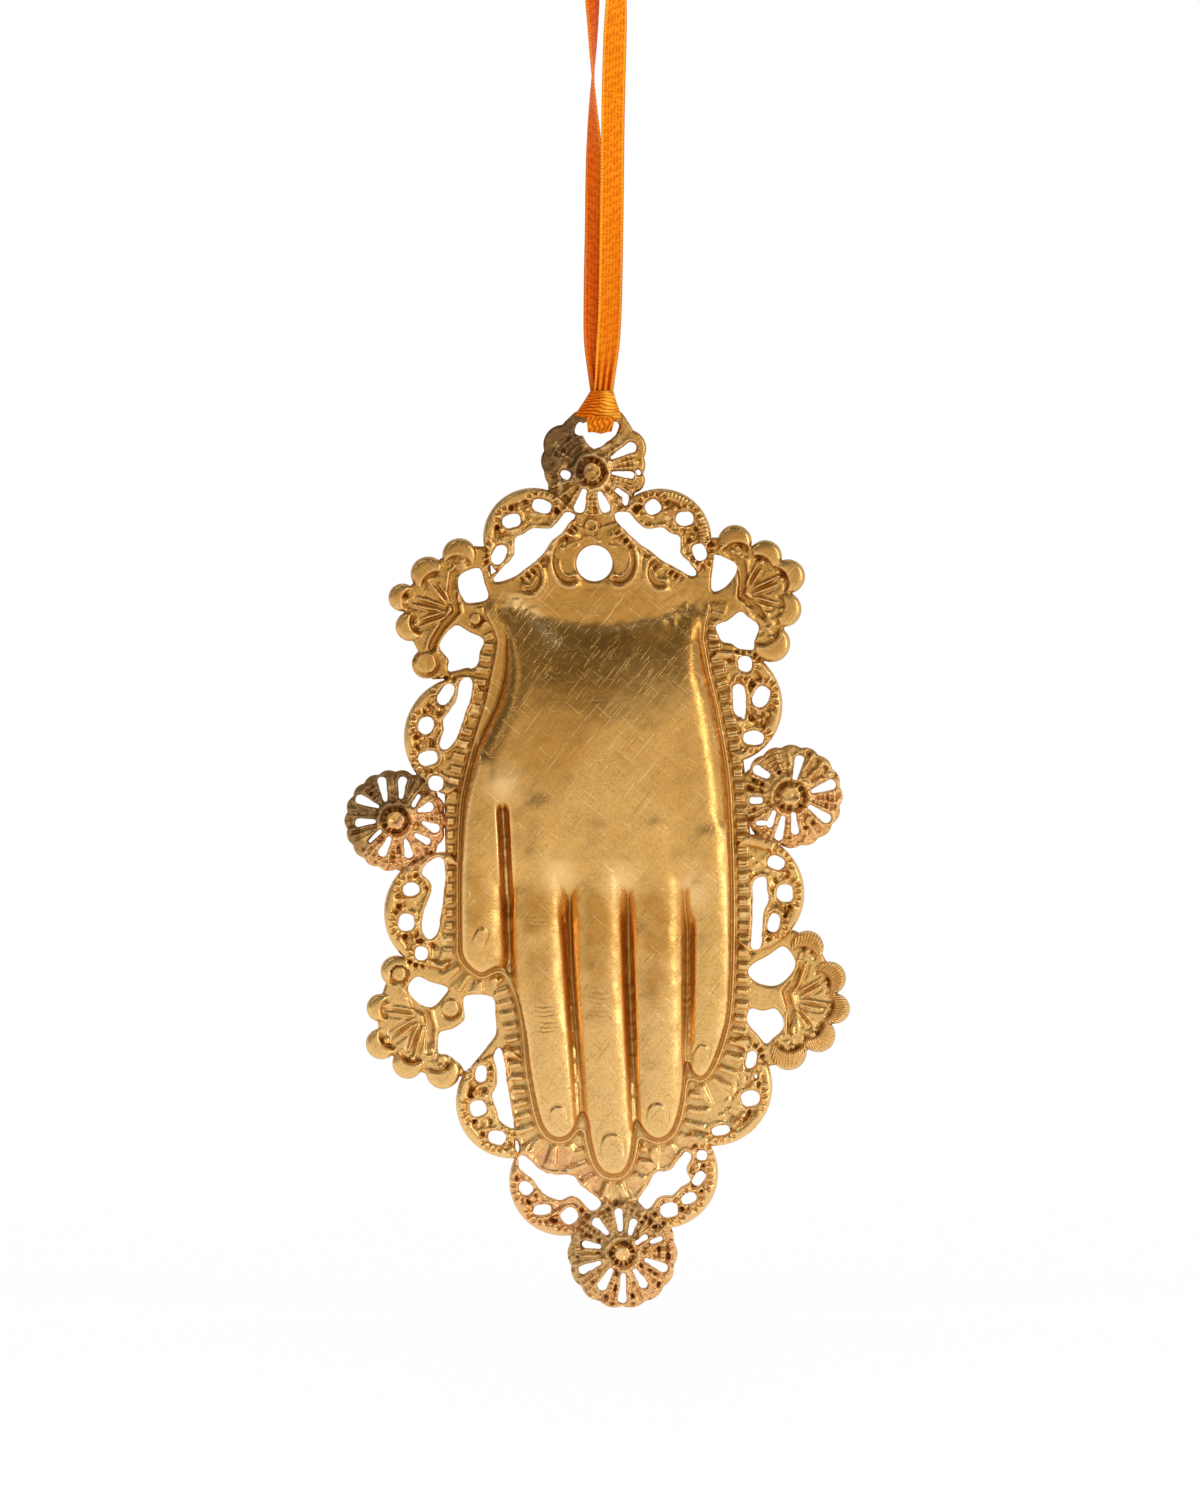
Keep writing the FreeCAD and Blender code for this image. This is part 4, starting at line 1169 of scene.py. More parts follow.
    def _ramp(self, x: np.ndarray, z: np.ndarray) -> np.ndarray:
        """How far the wrist has risen: steepest soon after its fold.

        Args:
            x: the points' x.
            z: the points' z.

        Returns:
            The share, from 0 at the fold to 1 on the palm.
        """
        below = np.clip((self._fold(x) + 1.6 - z) / 16.0, 0, 1)
        marks = np.linspace(0, 1, 65)
        slope = step(marks, 0.0, 0.24) * (1 - marks) ** 1.25
        height = np.concatenate([[0.0], np.cumsum(slope[1:] + slope[:-1])])
        return np.interp(below, marks, height / height[-1])

    def _paint_light_and_wear(self, sheet: Sheet, ground: Ground) -> None:
        """Notes painted shade where the hand is darker, painted highlights where it is bright, and the
        valleys' light floors.

        Args:
            sheet: the sheet.
            ground: the hand's window.
        """
        window, x, z = ground.window, ground.x, ground.z
        soft = cloud(x, z, 2.5, 31)
        # painted shade: a soft diagonal patch on the palm's upper left, a patch over the wrist, the finger
        # roots and the thumb
        edge = ((x - 8.5) * 24.0 - (z + 16.0) * 9.5) / 25.8 + 1.2 * soft
        painted_shade = 0.45 * step(-edge, -1.5, 2.5) * (1 - step(-z, 36.0, 50.0)) * step(-z, 12.0, 17.0)
        painted_shade += 0.35 * hump(np.hypot((x - 7.0) * 0.7, z + 21.5), 3.5) * step(-z, 12.0, 17.0)
        for finger in self.fingers[1:4]:
            root = step(-z, 51.5, 56.0) * (1 - step(-z, 62.0, 76.0))
            painted_shade += (1.2 + 0.7 * soft) * hump(x - finger.middle(z) + 0.3, 1.9) * root
        painted_shade += (0.5 + 0.6 * soft) * hump(np.hypot(x + 14.6, (z + 55.0) * 0.35), 1.8)
        sheet.note("painted_shade", window, np.clip(painted_shade, 0, 1))
        # painted highlights: glints on the knuckles, a streak at the wrist's left corner and a line along the
        # wrist fold
        for a, b in self.knuckles:
            sheet.note("painted_glint", window, 0.95 * hump(np.hypot(x - a, (z - b) * 0.9), 2.0))
        streak, _ = line_distance(((-9.8, -16.6), (-7.6, -18.4), (-4.8, -22.0)), x, z)
        sheet.note("painted_glint", window, 0.85 * hump(streak, 1.1) * (0.8 + 0.5 * cloud(x, z, 0.6, 32)))
        fold_highlight = hump(z - self._fold(x) + 0.5 + 0.3 * soft, 0.42) * hump((x - 2.0) / 11.0, 0.85)
        sheet.note("painted_glint", window, 0.65 * fold_highlight * (0.7 + 0.5 * cloud(x, z, 1.2, 33)))
        for line in self.valleys:
            away, share = line_distance(line, x, z)
            sheet.note("floor", window, hump(away, 0.17) * step(share, 0.02, 0.12))

    def _wrist_fold(self, sheet: Sheet, ground: Ground) -> None:
        """Presses the shallow fold across the wrist, and the rough flares at its ends.

        Args:
            sheet: the sheet.
            ground: the hand's window.
        """
        x, z = ground.x, ground.z
        past = z - self._fold(x)
        sheet.add(ground.window, -0.12 * hump(past, 0.9) * step(-ground.to_foot, 0.2, 2.0))
        flare = hump(np.hypot(np.abs(x - self.wrist[0]) - 10.2, z - self.wrist[1]), 2.2)
        rough = 0.10 * cloud(x, z, 0.5, 16) * flare + 0.05 * cloud(x, z, 0.9, 17) * hump(past, 1.6)
        sheet.add(ground.window, rough)

    @staticmethod
    def _nail(sheet: Sheet, finger: Finger) -> None:
        """Cuts the groove round a nail's upper side.

        Args:
            sheet: the sheet.
            finger: the finger.
        """
        x, z, half, length, tilt = finger.nail
        window = sheet.near((x, z), 3.2)
        k, v = sheet.oval(window, (x, z), (half, length), tilt, 2.6)
        edge, strength = (k - 1) * half, 0.10 + 0.90 * step(v, -0.5, 0.4)
        sheet.add(window, -0.22 * hump(edge, 0.16) * strength)
        sheet.add(window, 0.12 * hump(edge + 0.30, 0.18) * strength)

    @staticmethod
    def _creases(sheet: Sheet, finger: Finger) -> None:
        """Presses the fine creases over a finger's joints.

        Args:
            sheet: the sheet.
            finger: the finger.
        """
        for height, strength in finger.creases:
            x = float(finger.middle(height))
            window = sheet.near((x, height), 2.6)
            dx, dz = sheet.x[window] - x, sheet.z[window] - height
            wander = 0.12 * cloud(sheet.x[window], sheet.z[window], 1.1, 9)
            reach = hump(dx, 1.5) * step(2.2 - np.abs(dx), 0, 0.8)
            for offset, bow in ((0.0, 0.13), (-0.55, 0.10), (0.6, 0.05)):
                line = dz - offset - bow * dx * dx * 0.6 - wander
                sheet.add(window, -0.11 * strength * hump(line, 0.11) * reach)


@dataclass
class RibbonEye(Motif):
    """The top rosette's round petals, and the eye over it that the ribbon goes through."""

    edge: Line = (
        (-4.6, 3.6), (-4.3, 5.4), (-2.9, 7.0), (-1.6, 7.9), (1.2, 8.05), (3.4, 7.85), (4.5, 6.6),
        (5.4, 4.4), (3.0, 1.5), (-3.0, 1.5))
    petals: Sequence[Triple] = (
        (-3.7, 3.5, 2.55), (-4.25, 1.4, 2.3), (4.5, 3.0, 2.45), (4.7, 0.9, 2.15), (5.2, -1.1, 1.6))
    holes: Sequence[Line] = (
        ((0.3, 2.95), (-1.3, 5.05), (-1.0, 6.35), (1.0, 6.45), (3.3, 6.35), (2.95, 4.75)),
        ((-2.2, 5.0), (-1.2, 4.7), (-0.95, 5.9), (-1.5, 6.4), (-2.0, 6.0)))

    def outline(self, sheet: Sheet) -> None:
        """Adds the petals and the eye's rim.

        Args:
            sheet: the sheet.
        """
        for x, z, radius in self.petals:
            sheet.disc((x, z), radius)
        sheet.ring(Cut.METAL, self.edge)

    def pierce(self, sheet: Sheet) -> None:
        """Saws out the eye."""
        for hole in self.holes:
            sheet.ring(Cut.OPENING, hole)


# ------------------------------------------------------------------ the plaque
def put(name: str, data: bpy.types.ID) -> bpy.types.Object:
    """Puts an object in the scene.

    Args:
        name: its name.
        data: its mesh, curve, lamp or camera.

    Returns:
        The object.
    """
    made = bpy.data.objects.new(name, data)
    bpy.context.collection.objects.link(made)
    return made


def store(mesh: bpy.types.Mesh, name: str, values: np.ndarray, kind: str = "FLOAT",
          on: str = "POINT") -> None:
    """Stores numbers on a mesh's points, or on another of its domains."""
    mesh.attributes.new(name, kind, on).data.foreach_set("value", values)


@dataclass
class Plaque:
    """The stamped brass plaque, made of its motifs."""

    finish: BrassFinish = BrassFinish()
    wall: float = 0.55
    least_wall: float = 0.35
    least_rise: float = 0.42
    most_rise: float = 5.06
    bar_rise: float = 0.70
    scrolls: Sequence[Scroll] = (
        Scroll((-7.55, -8.45), 6.4, ((-6.5, -4.4, 2.5, 1.7, -15), (-10.3, -6.3, 2.4, 1.7, 12),
            (-11.9, -10.6, 1.7, 2.7, -28)), ((-2.1, -5.6), (-3.4, -5.2), (-4.7, -6.7), (-5.6, -7.3),
            (-7.6, -7.2), (-8.8, -8.0), (-9.9, -8.5), (-10.0, -10.6), (-11.1, -11.9), (-12.6, -13.6),
            (-12.1, -14.1), (-9.9, -13.4), (-7.9, -11.9), (-6.4, -10.6), (-5.1, -8.8), (-3.8, -7.7),
            (-3.1, -6.7)), seed=2),
        Scroll((8.75, -8.7), 6.55, ((7.8, -4.5, 2.0, 1.9, 30), (11.9, -6.0, 2.2, 1.7, 0),
            (13.8, -10.3, 1.7, 2.2, 20)), ((3.0, -5.3), (4.7, -5.2), (5.8, -6.4), (6.9, -7.3), (8.8, -7.1),
            (10.1, -7.8), (11.3, -8.4), (11.3, -10.3), (12.3, -11.5), (13.3, -12.7), (13.2, -13.3),
            (12.3, -13.2), (10.7, -12.2), (8.8, -11.2), (7.4, -10.1), (5.8, -9.0), (4.6, -7.7),
            (3.2, -6.4)), milled=True, seed=3),
        Scroll((-16.3, -34.0), 7.8, ((-18.7, -28.5, 1.6, 2.9, -30), (-21.3, -32.5, 1.9, 2.2, -20),
            (-21.0, -36.7, 2.5, 1.8, 10), (-20.0, -39.9, 1.9, 1.9, 0)), ((-15.9, -26.3), (-16.9, -26.9),
            (-17.2, -28.4), (-17.5, -29.6), (-19.0, -31.7), (-19.0, -33.2), (-19.6, -34.9), (-18.9, -35.6),
            (-17.9, -34.9), (-17.0, -33.1), (-16.3, -31.1), (-15.6, -29.1), (-15.3, -27.1)), seed=4),
        Scroll((-18.85, -56.5), 7.8, ((-23.2, -53.5, 2.2, 1.7, 10), (-23.8, -57.7, 2.0, 2.2, 0),
            (-21.9, -61.7, 1.6, 1.8, 0)), ((-19.9, -49.4), (-18.95, -49.9), (-18.85, -52.1), (-19.1, -54.5),
            (-19.5, -57.6), (-19.9, -59.2), (-20.8, -59.9), (-21.5, -59.3), (-21.8, -58.2), (-21.4, -55.8),
            (-20.6, -53.8), (-20.9, -52.4), (-21.8, -51.5), (-21.2, -50.3)), seed=5),
        Scroll((-10.25, -80.8), 7.2, ((-14.2, -77.1, 1.5, 2.1, -10), (-14.6, -81.6, 2.1, 2.0, 20),
            (-12.2, -85.3, 2.2, 1.7, -10), (-9.6, -86.5, 0.45, 1.2, 10)), ((-11.8, -73.8), (-12.6, -74.8),
            (-12.2, -76.8), (-12.3, -78.8), (-12.8, -80.0), (-12.2, -82.0), (-11.9, -83.1), (-10.5, -84.0),
            (-10.0, -83.8), (-10.4, -81.3), (-10.9, -78.3), (-11.2, -75.8)), seed=6),
        Scroll((-3.6, -90.9), 7.0, ((-8.5, -91.8, 1.8, 1.5, -40), (-6.4, -94.6, 2.4, 1.4, 5),
            (-2.9, -95.4, 2.1, 2.0, 40)), ((-9.4, -87.9), (-8.5, -87.7), (-5.9, -89.9), (-2.4, -90.2),
            (-1.5, -91.5), (0.6, -93.0), (1.1, -94.0), (0.0, -94.7), (-0.9, -94.0), (-1.7, -93.1),
            (-2.7, -92.8), (-3.8, -93.3), (-5.0, -93.1), (-6.3, -92.4), (-7.7, -90.6), (-9.2, -89.4)),
            copper=0.8, seed=7),
        Scroll((9.1, -89.9), 7.05, ((14.1, -87.6, 1.3, 1.3, 0), (13.7, -90.5, 1.3, 2.0, -35),
            (12.4, -93.1, 1.9, 1.3, 20), (9.9, -94.6, 2.2, 1.8, 10)), ((12.0, -87.1), (12.7, -87.7),
            (12.1, -89.2), (12.2, -90.0), (12.6, -90.9), (11.2, -91.8), (10.4, -92.7), (9.4, -92.7),
            (8.3, -93.1), (7.5, -94.3), (6.9, -94.5), (6.0, -93.7), (6.0, -93.1), (7.2, -91.4),
            (7.8, -90.2), (8.5, -89.7), (10.1, -89.5), (11.0, -88.3)), copper=0.35, seed=8),
        Scroll((15.4, -78.7), 7.7, ((20.4, -75.3, 1.3, 2.2, -15), (20.3, -80.3, 2.4, 1.9, 10),
            (16.5, -84.4, 2.2, 1.2, 10)), ((21.0, -77.2), (21.2, -77.5), (21.0, -77.8), (20.8, -77.5)),
            seed=9),
        Scroll((19.6, -54.0), 7.6, ((23.6, -50.1, 2.2, 1.7, -20), (24.7, -54.0, 2.1, 2.2, 0),
            (23.3, -57.8, 1.5, 2.3, -10)), ((21.5, -51.9), (22.3, -52.1), (22.4, -53.5), (22.7, -54.9),
            (22.0, -56.4), (21.8, -58.3), (21.7, -60.6), (21.2, -61.2), (20.4, -61.0), (20.4, -59.7),
            (20.6, -57.4), (20.6, -53.8), (20.8, -52.4)), seed=10),
        Scroll((16.9, -29.9), 7.5, ((19.6, -24.6, 1.8, 2.0, 0), (18.9, -29.3, 1.7, 4.3, 4),
            (21.7, -28.8, 2.0, 2.8, -28), (20.7, -34.1, 2.6, 1.8, 0)), ((19.2, -31.2), (19.5, -31.2),
            (19.5, -31.6), (19.2, -31.6)), seed=11))
    shells: Sequence[Shell] = (
        Shell(((-13.0, -9.6), (-16.9, -9.4), (-21.0, -12.2), (-24.6, -16.0), (-23.6, -20.4), (-20.5, -26.6),
            (-14.8, -26.4), (-12.6, -20.0), (-13.0, -12.0)), (-17.6, -17.9), ((-17.0, -10.7, 2.2),
            (-21.0, -13.1, 2.25), (-24.3, -16.1, 1.8), (-23.3, -19.8, 1.9)), (((-14.5, -12.3),
            (-16.9, -13.2), (-17.1, -14.9), (-16.5, -16.3), (-15.8, -16.8), (-13.8, -16.5), (-13.3, -15.8),
            (-13.8, -14.2)), ((-17.6, -19.7), (-15.8, -20.5), (-13.9, -21.5), (-14.4, -23.1),
            (-14.6, -24.5), (-15.4, -25.2), (-16.1, -25.1), (-18.1, -25.6), (-18.5, -25.1), (-18.4, -24.0),
            (-19.6, -22.2))), ((-17.0, -12.6), (-17.7, -13.1), (-18.0, -15.2), (-17.4, -17.9),
            (-19.2, -19.9), (-20.3, -21.8), (-20.8, -23.6)), ((-21.2, -24.6, 1.9), (-14.9, -18.9, 1.1))),
        Shell(((15.5, -8.4), (18.5, -8.4), (22.3, -10.4), (25.4, -13.4), (25.2, -18.6), (23.4, -23.4),
            (21.2, -24.8), (15.0, -23.6), (13.6, -16.0), (14.0, -8.6)), (19.3, -15.9), ((18.3, -9.0, 2.2),
            (22.2, -10.9, 2.15), (25.1, -13.4, 2.2), (24.6, -17.6, 2.25), (23.0, -22.0, 2.4)),
            (((15.9, -10.6), (17.9, -11.4), (18.6, -12.2), (18.1, -13.6), (16.7, -15.0), (15.3, -15.0),
            (15.6, -11.3)), ((19.0, -17.9), (20.0, -18.6), (21.4, -19.8), (20.8, -21.7), (20.7, -22.7),
            (20.0, -22.8), (18.7, -22.6), (17.9, -22.0), (16.8, -21.8), (16.2, -20.9), (15.9, -19.7),
            (17.5, -19.0))), ((17.0, -10.3), (19.2, -11.7), (19.4, -13.5), (19.1, -15.9), (20.7, -17.1),
            (22.4, -19.4))),
        Shell(((-24.6, -62.2), (-26.4, -65.4), (-27.6, -69.0), (-27.2, -73.4), (-24.0, -76.2),
            (-19.4, -77.8), (-16.2, -77.4), (-10.6, -75.0), (-10.9, -70.0), (-12.2, -66.0), (-20.0, -62.4)),
            (-21.5, -69.6), ((-25.1, -64.0, 2.0), (-27.1, -68.7, 1.8), (-27.0, -73.3, 2.0),
            (-23.6, -75.8, 2.0), (-19.1, -76.9, 2.2)), (((-22.2, -64.7), (-20.7, -65.4), (-18.5, -66.1),
            (-19.1, -67.3), (-20.3, -68.5), (-21.5, -68.5), (-22.7, -67.7), (-23.6, -66.5), (-23.2, -65.3)),
            ((-16.0, -67.1), (-12.8, -67.3), (-12.4, -69.6), (-12.3, -71.9), (-13.1, -73.2), (-14.6, -75.1),
            (-16.2, -76.8), (-16.9, -75.9), (-18.6, -74.7), (-19.7, -74.5), (-19.7, -72.6), (-19.4, -71.8),
            (-17.9, -71.4), (-16.7, -70.6), (-16.3, -69.9), (-16.5, -68.1))), ((-23.6, -66.6),
            (-22.6, -68.5), (-21.2, -69.4), (-20.7, -71.4), (-20.9, -74.2)), ((-18.1, -68.8, 1.6),
            (-24.7, -64.4, 1.35))),
        Shell(((25.8, -58.7), (28.6, -60.0), (31.0, -64.6), (31.6, -69.4), (29.4, -73.0), (25.0, -75.8),
            (21.0, -76.4), (19.4, -70.0), (20.0, -62.0)), (25.4, -67.7), ((27.6, -60.9, 2.1),
            (30.4, -64.9, 2.15), (31.1, -68.8, 1.95), (29.0, -72.2, 2.2), (25.2, -74.4, 2.3)),
            (((24.5, -60.8), (25.9, -62.3), (25.9, -63.7), (24.9, -65.0), (23.7, -65.8), (22.3, -65.8),
            (20.9, -65.3), (20.0, -64.2), (20.6, -63.1), (22.6, -62.0)), ((20.3, -68.8), (21.9, -69.1),
            (23.5, -68.8), (24.5, -70.2), (24.4, -71.5), (23.2, -72.6), (22.3, -73.3), (21.2, -72.1),
            (19.9, -70.5))), ((26.6, -63.4), (26.0, -65.4), (24.8, -66.6), (25.4, -68.6), (25.6, -71.6)),
            milled=True))
    rosettes: Sequence[Rosette] = (
        Rosette((0.0, 0.0), 6.0, ((2.6, 1.85, 5.0, 3.15, 0.26, 0.66), (2.7, -0.15, 5.0, -0.4, 0.24, 0.46),
            (5.9, 0.0, 6.0, -0.1, 0.32, 0.32), (-3.3, -0.4, -3.5, -0.3, 0.6, 0.6),
            (-1.0, -2.5, -1.6, -4.6, 0.35, 0.72), (1.0, -2.8, 1.7, -4.6, 0.35, 0.66),
            (3.3, -2.4, 4.3, -3.1, 0.35, 0.35), (4.3, -3.1, 4.3, -4.0, 0.35, 0.3)), waves=12, tarnish=0.45,
            grain=0.7),
        Rosette((-25.2, -44.7), 6.4, tuple((a, b, c * 0.9 - 2.52, d * 0.9 - 4.47, 0.26, w * 0.92) for a, b,
            c, d, w in ((-27.5, -42.9, -30.2, -41.7, 0.66), (-26.5, -42.0, -27.1, -39.1, 0.66),
            (-24.5, -41.6, -24.2, -39.1, 0.62), (-22.9, -42.7, -21.9, -41.2, 0.25),
            (-22.1, -43.4, -20.5, -42.8, 0.66), (-21.6, -45.0, -19.6, -45.8, 0.62),
            (-22.5, -46.6, -20.7, -47.6, 0.5), (-23.9, -47.3, -23.3, -49.4, 0.6),
            (-26.0, -47.0, -27.0, -49.2, 0.6), (-27.2, -46.1, -28.8, -47.6, 0.22),
            (-28.0, -44.8, -30.4, -45.0, 0.6))), waves=18, tarnish=0.75, copper=0.9, grain=0.9),
        Rosette((25.5, -41.6), 6.5, ((22.4, -38.9, 21.2, -38.2, 0.45, 0.62),
            (26.0, -39.2, 26.6, -36.9, 0.3, 0.6), (28.4, -40.9, 30.6, -40.1, 0.3, 0.65),
            (28.0, -43.0, 30.0, -44.4, 0.3, 0.62), (25.8, -43.9, 26.0, -46.0, 0.3, 0.5),
            (24.5, -44.4, 23.9, -46.7, 0.3, 0.55), (23.3, -43.7, 22.8, -45.1, 0.3, 0.45),
            (21.5, -42.1, 20.6, -42.1, 0.4, 0.4), (22.1, -45.0, 21.3, -45.0, 0.3, 0.3)), waves=16, boss=1.2,
            ring=1.95, tarnish=0.15, copper=0.5, grain=1.0),
        Rosette((3.9, -100.2), 6.9, ((0.9, -99.3, -0.8, -99.0, 0.3, 0.5),
            (1.9, -97.6, 0.6, -96.2, 0.3, 0.6), (3.6, -97.0, 3.4, -94.9, 0.3, 0.5),
            (4.9, -97.6, 5.3, -96.2, 0.3, 0.45), (0.9, -101.4, -1.2, -102.3, 0.3, 0.55),
            (2.4, -102.4, 1.3, -104.3, 0.3, 0.6), (4.0, -103.0, 3.9, -106.0, 0.3, 0.55),
            (5.5, -102.4, 6.6, -104.1, 0.3, 0.55), (7.0, -101.0, 9.1, -102.0, 0.3, 0.6),
            (5.8, -98.8, 6.8, -98.1, 0.25, 0.35), (7.6, -98.7, 8.7, -98.3, 0.25, 0.35)), waves=14, boss=1.0,
            ring=1.6, tarnish=0.3, copper=0.7, grain=1.6))

    def build(self) -> bpy.types.Object:
        """Makes the plaque.

        Returns:
            Its mesh, in the row's frame.
        """
        sheet = Sheet()
        parts: List[Motif] = [Hand(), Pediment(), *self.scrolls, *self.shells, *self.rosettes, RibbonEye()]
        for part in parts:
            part.outline(sheet)
        for part in parts:
            part.pierce(sheet)
        for part in parts:
            part.strike(sheet)
        self._paint_light_and_wear(sheet)
        self._finish_edges(sheet)
        piece = put("brass_sheet", self._mesh(sheet))
        piece.data.materials.append(self.finish.make())
        return piece

    @staticmethod
    def _paint_light_and_wear(sheet: Sheet) -> None:
        """Notes painted highlights on the border, a crescent by the top rosette's boss and flecks over the
        lace, and the top rosette's dark lobes.

        Args:
            sheet: the sheet.
        """
        window = sheet.near((0, 0), 9.0)
        away, angle = sheet.spot(window, (0, 0))
        # painted highlight: a crescent on the right of the top rosette's boss
        sheet.note("painted_glint", window, hump(away - 2.1, 0.42) * step(np.cos(angle), 0.2, 0.9))
        dark = step(-sheet.x[window], -1.0, 2.0) * step(sheet.z[window], -3.5, 0.5) * step(8.8 - away, 0, 1.0)
        sheet.note("tarnish", window, 0.85 * dark)
        x, z = sheet.x, sheet.z
        close = np.exp(-(x ** 2 + z ** 2) / 45.0)
        # painted glints: flecks over the lace, more of them near the top rosette
        flecks = step(cloud(x, z, 0.55, 41) + 0.5 * cloud(x, z, 1.6, 42) + 0.20 * close, 0.45, 0.80)
        sheet.note("painted_glint", sheet.ALL, np.clip(flecks * (0.9 + 0.6 * close) * sheet.notes["lace"], 0, 1))

    def _finish_edges(self, sheet: Sheet) -> None:
        """Raises rubbed-down collars round the piercings, rounds every edge, and notes the patina and painted
        shade in the hollows and the painted highlights on the ridges.

        Args:
            sheet: the sheet.
        """
        x, z, notes = sheet.x, sheet.z, sheet.notes
        lace, hand, band = (notes.pop(name) for name in ("lace", "hand", "band"))
        rough = cloud(x, z, 0.9, 21) * 0.6 + cloud(x, z, 0.45, 22) * 0.4
        sheet.holes += 0.10 * rough * np.clip(lace + 0.2, 0, 1)
        nail_x, nail_z, radius = Pediment.nail
        nail = np.hypot(x - nail_x, z - nail_z)
        plain = nail < radius + 0.9
        sheet.holes = np.minimum(np.where(plain, nail - radius, sheet.holes), sheet.holes + FAR * plain)
        collar = hump(sheet.holes - 0.26, 0.22) * lace * (0.6 + 0.5 * cloud(x, z, 0.8, 23))
        sheet.add(sheet.ALL, 0.40 * collar)
        lace = lace * (1 - band)
        lumps = np.clip(cloud(x, z, 0.62, 24) + 0.3 * cloud(x, z, 0.4, 26), -1, 1)
        sheet.add(sheet.ALL, 0.32 * np.abs(lumps) * lumps * lace * step(sheet.holes, 0.1, 0.5))
        inner = np.minimum(-sheet.outer, sheet.holes)
        sheet.add(sheet.ALL, -0.34 * np.clip(1 - inner / 0.36, 0, 1) ** 2)
        sheet.add(sheet.ALL, 0.05 * cloud(x, z, 4.0, 25) * step(inner, 0.3, 2.0))
        bar = (x > -2.4) & (x < 3.8) & (z > 6.1) & (z < 8.2)
        rise = np.where(bar, np.minimum(sheet.rise, self.bar_rise), sheet.rise)
        sheet.rise = np.clip(rise, self.least_rise, self.most_rise).astype(np.float32)
        fine, wide = (blurred(sheet.rise, radius) - sheet.rise for radius in (3, 11))
        # patina with painted shade: darker in fine hollows, and broadly beside raised parts
        hollow = fine * (2.7 - 1.5 * hand) + np.clip(wide, 0, 2) * (0.10 + 0.16 * hand)
        notes["patina_and_shade"] = np.clip(np.minimum(hollow, 1.0 - 0.45 * hand), 0, 1)
        # hand-rubbed brightness and painted highlights on the ridges, plus the painted glints
        notes["ridge_highlight"] = np.clip(np.clip(-fine * 3.0 - 0.12, 0, 1) + notes.pop("painted_glint"), 0, 1)

    @staticmethod
    def _faces(keep: np.ndarray, solid: np.ndarray) -> Tuple[np.ndarray, np.ndarray]:
        """The grid's cells that are metal: whole ones, and those that have lost one corner.

        Args:
            keep: which points of the grid may be used.
            solid: which of them lie well inside.

        Returns:
            The quads and the triangles, as places in the grid.
        """
        index = np.arange(keep.size).reshape(keep.shape)
        a, b, c, d = index[:-1, :-1], index[:-1, 1:], index[1:, 1:], index[1:, :-1]
        kept = [keep.ravel()[corner] for corner in (a, b, c, d)]
        deep = np.any([solid.ravel()[corner] for corner in (a, b, c, d)], axis=0)
        count = np.sum(kept, axis=0)
        quads = np.stack([v[(count == 4) & deep] for v in (a, b, c, d)], 1)
        triangles = [np.stack([v[(count == 3) & deep & ~lost] for v in corners], 1)
                     for lost, corners in zip(kept, ((b, c, d), (a, c, d), (a, b, d), (a, b, c)))]
        return quads, np.concatenate(triangles)

    def _mesh(self, sheet: Sheet) -> bpy.types.Mesh:
        """Turns the sheet's grid into a thin skin with a front, a back and walls along every edge.

        Args:
            sheet: the finished sheet.

        Returns:
            The mesh.
        """
        inside = np.maximum(sheet.outer, -sheet.holes)
        gz, gx = np.gradient(inside, sheet.pitch)
        size = np.maximum(np.hypot(gx, gz), 0.5)
        close = sheet.pitch * 0.55
        near = np.abs(inside) < close
        quads, tris = self._faces((inside < 0) | near, inside < -close)
        used, placed = np.unique(np.concatenate([quads.ravel(), tris.ravel()]), return_inverse=True)
        quads, tris = placed[:quads.size].reshape(-1, 4), placed[quads.size:].reshape(-1, 3)
        total = len(used)
        across, up = ((grid - np.where(near, inside * slope / size ** 2, 0)).ravel()[used]
                      for grid, slope in ((sheet.x, gx), (sheet.z, gz)))
        rise = sheet.rise.ravel()[used]
        shell = np.clip(blurred(sheet.rise, 1).ravel()[used] - self.wall, 0.0, None)
        shell = np.minimum(shell, rise - self.least_wall)
        points = np.concatenate([np.stack([across + ROSETTE_X, BACK_Y - height, up + ROSETTE_Z], 1) * MM
                                 for height in (rise, shell)])
        edges = np.concatenate([np.stack([faces[:, i], faces[:, (i + 1) % count]], 1)
                                for faces, count in ((quads, 4), (tris, 3)) for i in range(count)])
        rim = edges[~np.isin(edges @ (total, 1), edges @ (1, total))]
        wall = np.stack([rim[:, 1], rim[:, 0], rim[:, 0] + total, rim[:, 1] + total], 1)
        faces = (quads, quads[:, ::-1] + total, wall, tris, tris[:, ::-1] + total)
        loops = np.concatenate([part.ravel() for part in faces]).astype(np.int32)
        sizes = np.concatenate([np.full(len(part), part.shape[1]) for part in faces])
        mesh = bpy.data.meshes.new("brass_sheet")
        mesh.vertices.add(len(points))
        mesh.vertices.foreach_set("co", points.astype(np.float32).ravel())
        mesh.loops.add(len(loops))
        mesh.loops.foreach_set("vertex_index", loops)
        mesh.polygons.add(len(sizes))
        mesh.polygons.foreach_set("loop_start", (np.cumsum(sizes) - sizes).astype(np.int32))
        mesh.polygons.foreach_set("use_smooth", np.ones(len(sizes), bool))
        mesh.update(calc_edges=True)
        mesh.validate()
        for name, values in sheet.notes.items():
            front = values.ravel()[used]
            back = front * (name not in ("patina_and_shade", "milled", "ridge_highlight"))
            store(mesh, name, np.concatenate([front, back]).astype(np.float32))
        self._sharpen(mesh, np.concatenate([rim, rim + total]))
        return mesh

